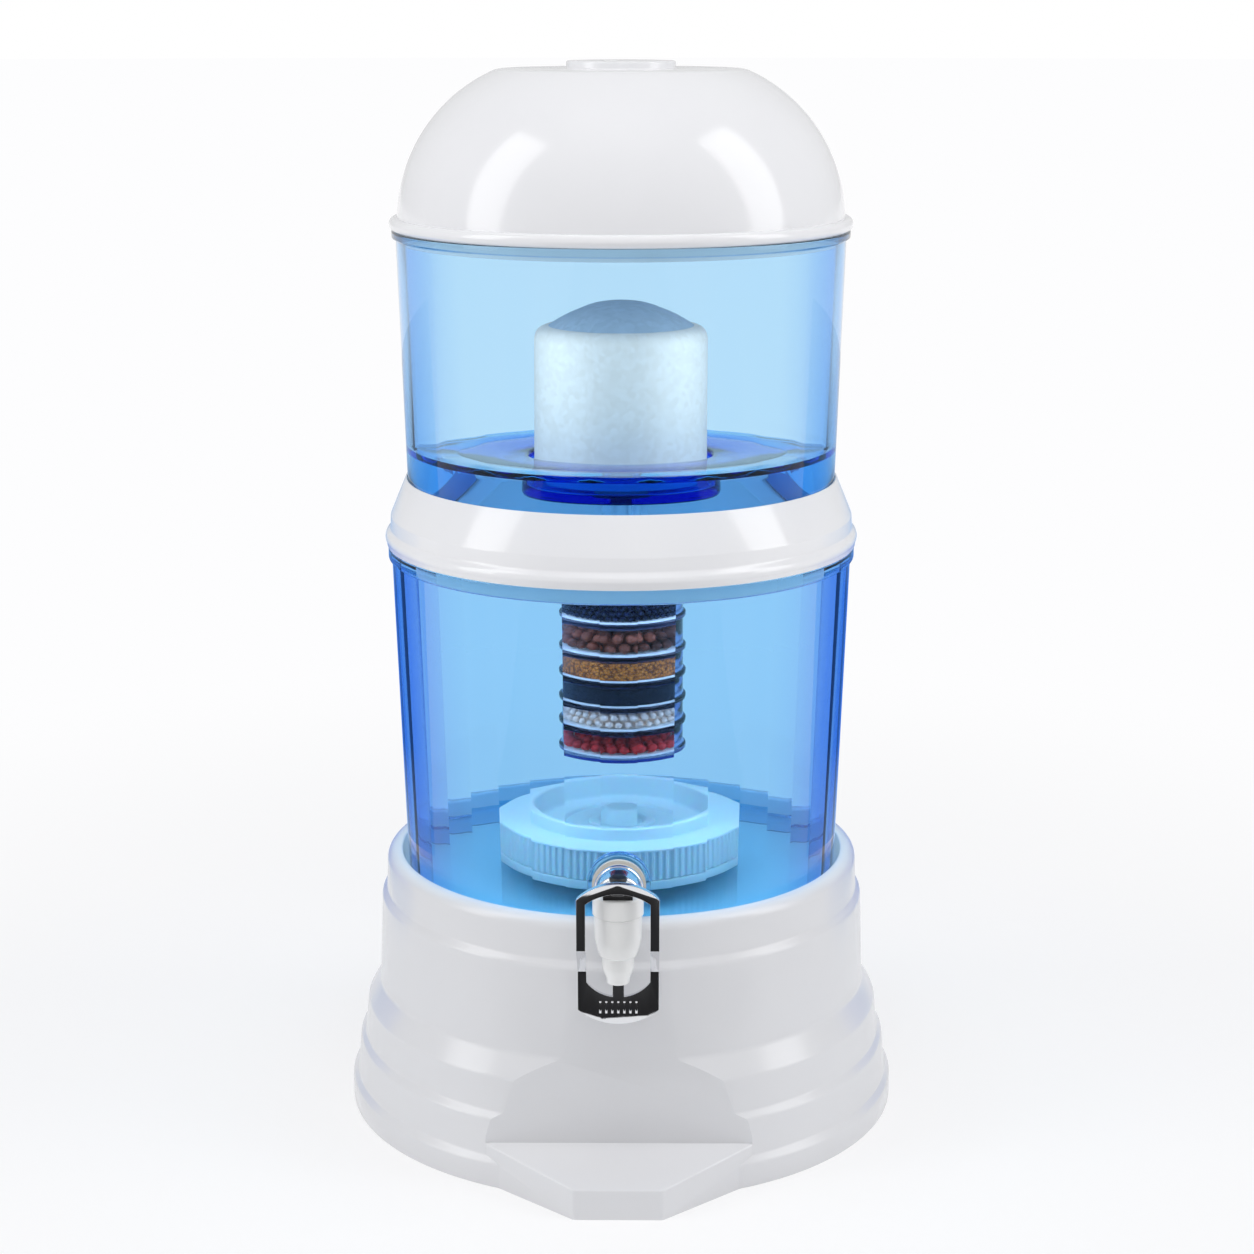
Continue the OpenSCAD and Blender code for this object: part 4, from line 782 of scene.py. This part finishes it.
# %% Beds of fine grain
for node, slot_name, material, cup, seed in (
    ("tan_grains", "grain", tan_silica, "cup_grain", 21),
    ("black_carbon", "carbon", black_carbon, "cup_carbon", 22),
):
    bottom, top = cup_foot[cup] + 3.1, cup_top[cup] - 2.2
    bed = lathe([(0, bottom), (INSIDE_R - 0.6, bottom), (INSIDE_R - 0.6, top), (0, top)], [(0.8, [1, 2])], 220, False)
    around = [e for e in bed.edges if abs(e.verts[0].co.z - e.verts[1].co.z) > 3 * MM]
    bmesh.ops.subdivide_edges(bed, edges=around, cuts=9, use_grid_fill=True)
    across = [e for e in bed.edges if e.verts[0].co.z > (top - 0.5) * MM and e.calc_length() > 8 * MM]
    bmesh.ops.subdivide_edges(bed, edges=across, cuts=30, use_grid_fill=True)
    rng = random.Random(seed)
    for vert in bed.verts:
        if vert.co.z > (bottom + 0.6) * MM and math.hypot(vert.co.x, vert.co.y) > 1 * MM:
            vert.co.z -= rng.uniform(0, 0.5) * MM * (vert.co.z > (top - 0.9) * MM)
            vert.co.x, vert.co.y = (c * (1 - rng.uniform(0, 0.012)) for c in vert.co.xy)
    piece(bed, node + "_bed", "upper_tank", [material], [node], sharp=180)

# %% [markdown]
# ## Stone case
# The round case on the tank's floor is a frosted tray under a lid with upright grip ribs. A circle with
# four points for each rib is made, every second pair is moved inwards, and the outline is pushed up.

# %% Stone case
case_foot = low("stone_case_tray")
tray_bm = lathe(
    [(0, case_foot), (69.7, case_foot), (69.7, case_foot + 5.4), (66.4, case_foot + 5.4), (66.4, case_foot + 18),
     (64.4, case_foot + 18), (64.4, case_foot + 2), (0, case_foot + 2)],
    rounds=[(0.9, [1, 2])], steps=160, closed=False,
)
piece(tray_bm, "stone_case_tray_frosted", "stone_case", [frosted_pp], ["stone_case_tray"])

RIBS = 120
ribbed = bmesh.new()
bmesh.ops.create_circle(ribbed, cap_ends=False, radius=69.6 * MM, segments=RIBS * 4)
grooves = [
    v for v in ribbed.verts
    if int(round(math.degrees(math.atan2(v.co.y, v.co.x)) % 360 * RIBS * 4 / 360)) % 4 > 1
]
bmesh.ops.scale(ribbed, vec=(68.8 / 69.6, 68.8 / 69.6, 1), verts=grooves)
pushed = bmesh.ops.extrude_edge_only(ribbed, edges=ribbed.edges[:])
bmesh.ops.translate(ribbed, verts=only(bmesh.types.BMVert, pushed["geom"]), vec=(0, 0, 17 * MM))
move(ribbed, z=case_foot + 5.7)
bmesh.ops.recalc_face_normals(ribbed, faces=ribbed.faces[:])
shoulder = high("stone_case_lid") - 7
lid_under = lathe(
    [(0, shoulder - 5), (14, shoulder - 4.9), (16, shoulder - 3.6), (19, shoulder - 3.6), (20, shoulder - 5),
     (30, shoulder - 5), (31, shoulder - 3.6), (33, shoulder - 3.6), (34, shoulder - 5), (47.4, shoulder - 5),
     (49, shoulder + 7), (53, shoulder + 7), (53.4, shoulder), (69.8, shoulder), (69.8, shoulder - 1.4),
     (67.5, shoulder - 1.6), (67.5, case_foot + 5.7), (66.9, case_foot + 5.7), (66.9, shoulder - 2.2),
     (53.6, shoulder - 2.2), (51, shoulder - 7), (0, shoulder - 7)],
    rounds=[(0.5, [2, 3, 6, 7]), (1.6, [9]), (1.2, [10, 11]), (1.0, [12, 13])], steps=160, closed=False,
)
hub_outline = [(0, shoulder - 5.2), (11, shoulder - 5.2), (8, shoulder + 4), (0, shoulder + 4)]
hub = lathe(hub_outline, [(1.5, [2])], 48, False)
piece(join(ribbed, lid_under, hub), "stone_case_lid_frosted", "stone_case", [frosted_pp],
      ["stone_case_lid"], sharp=28)

# %% Mineral stones
rng = random.Random(31)
stones = bmesh.new()
for ring, count in ((58.5, 28), (46, 22), (34, 15), (22, 9), (10, 3)):
    for k in range(count):
        angle, size = 2 * math.pi * k / count + ring, rng.uniform(0.82, 1.0)
        up = case_foot + 2.1 + 4.6 * size
        at = Matrix.Translation((ring * math.cos(angle) * MM, ring * math.sin(angle) * MM, up * MM))
        turn = Matrix.Rotation(rng.uniform(0, 3), 4, "Z")
        made = bmesh.ops.create_icosphere(
            stones, subdivisions=2, radius=5.6 * size * MM, matrix=at @ turn @ Matrix.Diagonal((1, 0.85, 0.8, 1)),
        )
        for vert in made["verts"]:
            vert.co = at.translation + (vert.co - at.translation) * rng.uniform(0.93, 1.0)
piece(stones, "mineral_stones_mixed", "stone_case", [river_stone], ["mineral_stones"], sharp=80)

# %% [markdown]
# ## Tap
# A threaded shank goes through the tank's wall and carries the valve, which hangs in front of it. The
# upright valve body and the lying shank are both lathe shapes, joined into one moulding.

# %% Tap body
TAP_OUT = 168.0
spout = low("tap_body")
bonnet_foot = low("tap_bonnet")
bonnet_head = high("tap_bonnet")
chamber = bonnet_head - 3.7
upright = lathe(
    [(0, spout), (6, spout), (6.3, spout + 3), (8.4, spout + 8), (8.4, spout + 15), (10, spout + 15.8),
     (11.6, spout + 21), (12.4, spout + 25), (12.4, bonnet_foot - 0.3), (11.7, bonnet_foot - 0.3),
     (11.7, chamber - 0.2), (0, chamber - 0.2)],
    rounds=[(0.4, [1, 4]), (1.5, [3]), (2.2, [6, 7]), (0.6, [8]), (0.3, [5])], steps=96, closed=False,
)
move(upright, y=-TAP_OUT)
lying = lathe(
    [(0, -154.2), (11.8, -154.2), (11.8, -152.3), (9, -152.3), (9, -132.2), (12.8, -132.2), (12.8, -129.7),
     (8, -129.7), (8, -105.6), (0, -105.6)],
    rounds=[(0.6, [1, 2, 5, 6]), (0.8, [8])], steps=96, closed=False,
)
move(lying, z=tap_height, turn=(math.radians(-90), "X"))
link = lathe([(0, -TAP_OUT), (6.6, -TAP_OUT), (6.6, -153), (0, -153)], steps=48, closed=False)
move(link, z=bonnet_foot - 6.9, turn=(math.radians(-90), "X"))
body_bm = combine(combine(upright, lying, "UNION"), link, "UNION")
bore = lathe([(0, spout - 3), (4.5, spout - 3), (4.5, spout + 19.5), (0, spout + 19.5)], steps=48, closed=False)
body_bm = combine(body_bm, move(bore, y=-TAP_OUT), "DIFFERENCE")
chamber_bore = lathe(
    [(0, spout + 21.7), (8.7, spout + 21.7), (8.7, chamber + 1), (0, chamber + 1)], steps=64, closed=False,
)
body_bm = combine(body_bm, move(chamber_bore, y=-TAP_OUT), "DIFFERENCE")
piece(body_bm, "tap_valve_body", "lower_tank", [tap_abs], ["tap_body"])

# %% Bonnet and chrome sleeve
bonnet_bm = lathe(
    [(11.8, bonnet_foot), (13.1, bonnet_foot), (13.5, bonnet_foot + 0.4), (13.5, bonnet_head), (2.06, bonnet_head),
     (2.06, chamber), (11.8, chamber)],
    rounds=[(1.2, [3]), (0.2, [1])], steps=96,
)
piece(move(bonnet_bm, y=-TAP_OUT), "tap_bonnet_cap", "lower_tank", [tap_abs], ["tap_bonnet"])

sleeve_bm = lathe(
    [(9.05, -152.2), (12.6, -152.2), (13.4, -151.2), (13.4, -149), (12.7, -148.3), (12.7, -135.4), (13.4, -134.6),
     (13.4, -132.2), (9.05, -132.2)],
    rounds=[(0.6, [2, 3, 6]), (0.5, [7])], steps=96,
)
move(sleeve_bm, z=tap_height, turn=(math.radians(-90), "X"))
piece(sleeve_bm, "tap_chrome_sleeve", "lower_tank", [chrome], ["tap_sleeve"])

# %% Small tap parts, eased from the CAD
for node, body, slot_name, material, ease in (
    ("tap_outer_washer", "lower_tank", "seal_rubber", silicone, 0.3),
    ("tap_inner_washer", "lower_tank", "seal_rubber", silicone, 0.3),
    ("tap_nut", "lower_tank", "white_gloss", white_abs, 0.4),
    ("tap_fulcrum", "lower_tank", "black_plastic", black_abs, 0.35),
    ("tap_pin", "lower_tank", "spring_steel", stainless, 0.2),
    ("tap_stem", "valve_stem", "black_plastic", black_abs, 0.15),
    ("tap_plug", "valve_stem", "seal_rubber", silicone, 0.3),
):
    piece(eased_copy(node, ease), node + "_eased", body, [material], [node])
spring_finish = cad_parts["tap_spring"].data.materials
spring_finish.clear()
spring_finish.append(stainless)

print("the return spring is the CAD's own, in", stainless.name)

# %% [markdown]
# ## Lever
# The lever is a chrome frame: an arch over the valve, two legs, and a push pad behind the spout. Its
# shape is right in the CAD, but a plated part has soft edges all round, and those edges are what catches
# the light, so it is copied with a generous bevel. The pad has plain grip bars.

# %% Lever with soft edges
lever_bm = eased_copy("tap_lever", 0.55, sharp=30, segments=3)
pad_low = low("tap_lever")
for number in range(7):
    offset = (number - 3) * 3.2
    bar = block(offset - 0.65, offset + 0.65, -160.5, -159.8, pad_low + 6, pad_low + 13)
    ease_edges(bar, bar.edges[:], 0.34)
    lever_bm = join(lever_bm, bar)
piece(lever_bm, "tap_lever_chrome", "lever", [chrome], ["tap_lever"])

# %% [markdown]
# ## Studio
# The photograph was taken on a white sweep under soft boxes. The floor is plain and pale and catches a
# soft shadow. A shiny surface shows what stands round it, so there is a large soft box on each side, one
# above, and two cards that only reflections see: a black one on the floor in front puts the dark band
# into the chrome, and a low blue one curved behind keeps the edges of the clear tanks blue.
# Small lamps inside the tanks, which nothing shows, lift the parts that stand behind dyed plastic.

# %% Floor and backdrop
floor_bm = bmesh.new()
bmesh.ops.create_circle(floor_bm, cap_ends=True, radius=30, segments=96)
floor_mesh = bpy.data.meshes.new("studio_floor")
floor_bm.to_mesh(floor_mesh)
floor_bm.free()
studio_floor = bpy.data.objects.new("studio_floor", floor_mesh)
bpy.context.collection.objects.link(studio_floor)
paper, tree, shader, place = begin("white paper sweep", {"Base Color": linear("#FBFBFC"), "Roughness": 0.9})
rays = add(tree, "LightPath")
to_camera, mirrored, through = [rays.outputs[f"Is {kind} Ray"] for kind in ("Camera", "Glossy", "Transmission")]
direct = add(tree, "Math", {0: to_camera, 1: mirrored}, operation="MAXIMUM")
seen = add(tree, "Math", {0: direct.outputs[0], 1: through}, operation="MAXIMUM")
reach = add(tree, "VectorMath", {0: place}, operation="LENGTH")
fade = {0: reach.outputs["Value"], 1: 0.25, 2: 1.0, 3: 0.7}
far = add(tree, "MapRange", fade, interpolation_type="SMOOTHSTEP")
glow = add(tree, "Math", {0: far.outputs[0], 1: seen.outputs[0]}, operation="MULTIPLY")
light = add(tree, "Emission", {"Color": linear("#FDFDFE"), "Strength": 1.0})
blend = add(tree, "MixShader", {0: glow.outputs[0], 1: shader.outputs[0], 2: light.outputs[0]})
tree.links.new(blend.outputs[0], tree.nodes["Material Output"].inputs["Surface"])
floor_mesh.materials.append(paper)
print("floor radius 30 m")

# %% World and soft boxes
world = bpy.data.worlds.new("studio")
bpy.context.scene.world = world
world.use_nodes = True
tree = world.node_tree
sky = tree.nodes["Background"]
sky.inputs["Color"].default_value = linear("#F7F9FC")
sky.inputs["Strength"].default_value = 0.3
white = add(tree, "Background", {"Color": (1, 1, 1, 1), "Strength": 1.0})
rays = add(tree, "LightPath")
to_camera, mirrored, through = [rays.outputs[f"Is {kind} Ray"] for kind in ("Camera", "Glossy", "Transmission")]
direct = add(tree, "Math", {0: to_camera, 1: through}, operation="MAXIMUM")
dimmed = add(tree, "Math", {0: mirrored, 1: 0.55}, operation="MULTIPLY")
seen = add(tree, "Math", {0: direct.outputs[0], 1: dimmed.outputs[0]}, operation="MAXIMUM")
blend = add(tree, "MixShader", {0: seen.outputs[0], 1: sky.outputs[0], 2: white.outputs[0]})
tree.links.new(blend.outputs[0], tree.nodes["World Output"].inputs["Surface"])


def soft_box(name, place, target, width, height, power, reflected=True, carrier=None):
    """A rectangular lamp at place, aimed at target, in metres and watts. It moves with its carrier."""
    data = bpy.data.lights.new(name, "AREA")
    data.shape, data.size, data.size_y, data.energy = "RECTANGLE", width, height, power
    lamp = bpy.data.objects.new(name, data)
    bpy.context.collection.objects.link(lamp)
    lamp.location = place
    lamp.rotation_euler = (Vector(target) - Vector(place)).to_track_quat("-Z", "Y").to_euler()
    lamp.visible_glossy = reflected
    lamp.visible_transmission = lamp.visible_camera = False
    lamp.parent = carrier
    return lamp


soft_box("left soft box", (-2.0, -0.7, 1.45), (0, 0, 0.35), 0.9, 2.6, 22)
soft_box("right soft box", (2.0, -0.45, 1.45), (0, 0, 0.35), 0.9, 2.6, 22)
soft_box("top soft box", (0, -0.8, 3.0), (0, 0, 0.3), 1.8, 1.8, 24, reflected=False)
soft_box("front fill", (0, -2.4, 1.3), (0, 0, 0.3), 1.2, 1.2, 5, reflected=False)
for name, place, target, width, height, power, carrier in (
    ("upper strip left", (-0.08, -0.083, 0.452), (0, 0, 0.44), 0.02, 0.08, 0.03, upper_tank),
    ("lower strip left", (-0.085, -0.075, 0.25), (0, 0, 0.23), 0.02, 0.12, 0.06, upper_tank),
    ("upper strip right", (0.08, -0.083, 0.452), (0, 0, 0.44), 0.02, 0.08, 0.03, upper_tank),
    ("lower strip right", (0.085, -0.075, 0.25), (0, 0, 0.23), 0.02, 0.12, 0.06, upper_tank),
    ("lamp under the collar", (0, 0, 0.32), (0, 0, 0), 0.17, 0.17, 0.33, lower_tank),
):
    soft_box(name, place, target, width, height, power, False, carrier)

# %% Black card and blue card


def card(name, bm, material):
    """Stands a piece of card in the studio that only reflections see."""
    mesh = bpy.data.meshes.new(name)
    bm.to_mesh(mesh)
    bm.free()
    mesh.materials.append(material)
    board = bpy.data.objects.new(name, mesh)
    bpy.context.collection.objects.link(board)
    for kind in ("camera", "diffuse", "transmission", "shadow", "volume_scatter"):
        setattr(board, "visible_" + kind, False)


velvet = begin("black velvet", {"Base Color": linear("#080709"), "Roughness": 1.0})[0]
bm = bmesh.new()
bmesh.ops.create_grid(bm, x_segments=1, y_segments=1, size=0.55)
bmesh.ops.translate(bm, verts=bm.verts[:], vec=(0, -0.86, 0.003))
card("black_card", bm, velvet)
gel, tree, shader, place = begin("blue gel on a card", {"Base Color": (0, 0, 0, 1), "Emission Strength": 0.9})
height = add(tree, "SeparateXYZ", {0: place}).outputs["Z"]
share = add(tree, "MapRange", {0: height, 1: 0.0, 2: 0.37}).outputs[0]
blues = add(tree, "ValToRGB", {0: share})
stops = blues.color_ramp.elements
stops[0].color, stops[1].color = linear("#B4D2F4"), linear("#E1E3E6")
for where, code in ((0.2, "#2F78E8"), (0.5, "#2F78E8"), (0.68, "#84B8F0")):
    stops.new(where).color = linear(code)
tree.links.new(blues.outputs[0], shader.inputs["Emission Color"])
bm = bmesh.new()
upright_edge = bm.edges.new([bm.verts.new((0.5, 0, z)) for z in (0.004, 0.37)])
bmesh.ops.rotate(bm, verts=bm.verts[:], cent=(0, 0, 0), matrix=Matrix.Rotation(math.radians(15), 3, "Z"))
bmesh.ops.spin(
    bm, geom=[*upright_edge.verts, upright_edge], cent=(0, 0, 0), axis=(0, 0, 1), dvec=(0, 0, 0),
    angle=math.radians(150), steps=30,
)
card("blue_card", bm, gel)
print("the cards are seen by reflections only")

# %% [markdown]
# ## Camera
# The lens and the place were found by matching the rings of the tanks in the photograph: a 73 mm lens on
# a 36 mm sensor, 1.43 m in front of the axis and 0.63 m above the floor, looking down by 13.7 degrees.

# %% Camera
camera_data = bpy.data.cameras.new("camera")
camera_data.lens, camera_data.sensor_width, camera_data.sensor_fit = 73.30, 36.0, "HORIZONTAL"
camera = bpy.data.objects.new("camera", camera_data)
bpy.context.collection.objects.link(camera)
turn, ahead, aside = math.radians(0.43), 1.4298, 0.00424
camera.location = (
    aside * math.cos(turn) + ahead * math.sin(turn), aside * math.sin(turn) - ahead * math.cos(turn), 0.6299
)
camera.rotation_euler = (math.radians(90 - 13.72), 0, math.radians(0.468))
bpy.context.scene.camera = camera
bpy.context.scene.view_settings.view_transform = "Standard"
print("camera at", [round(c, 3) for c in camera.location])
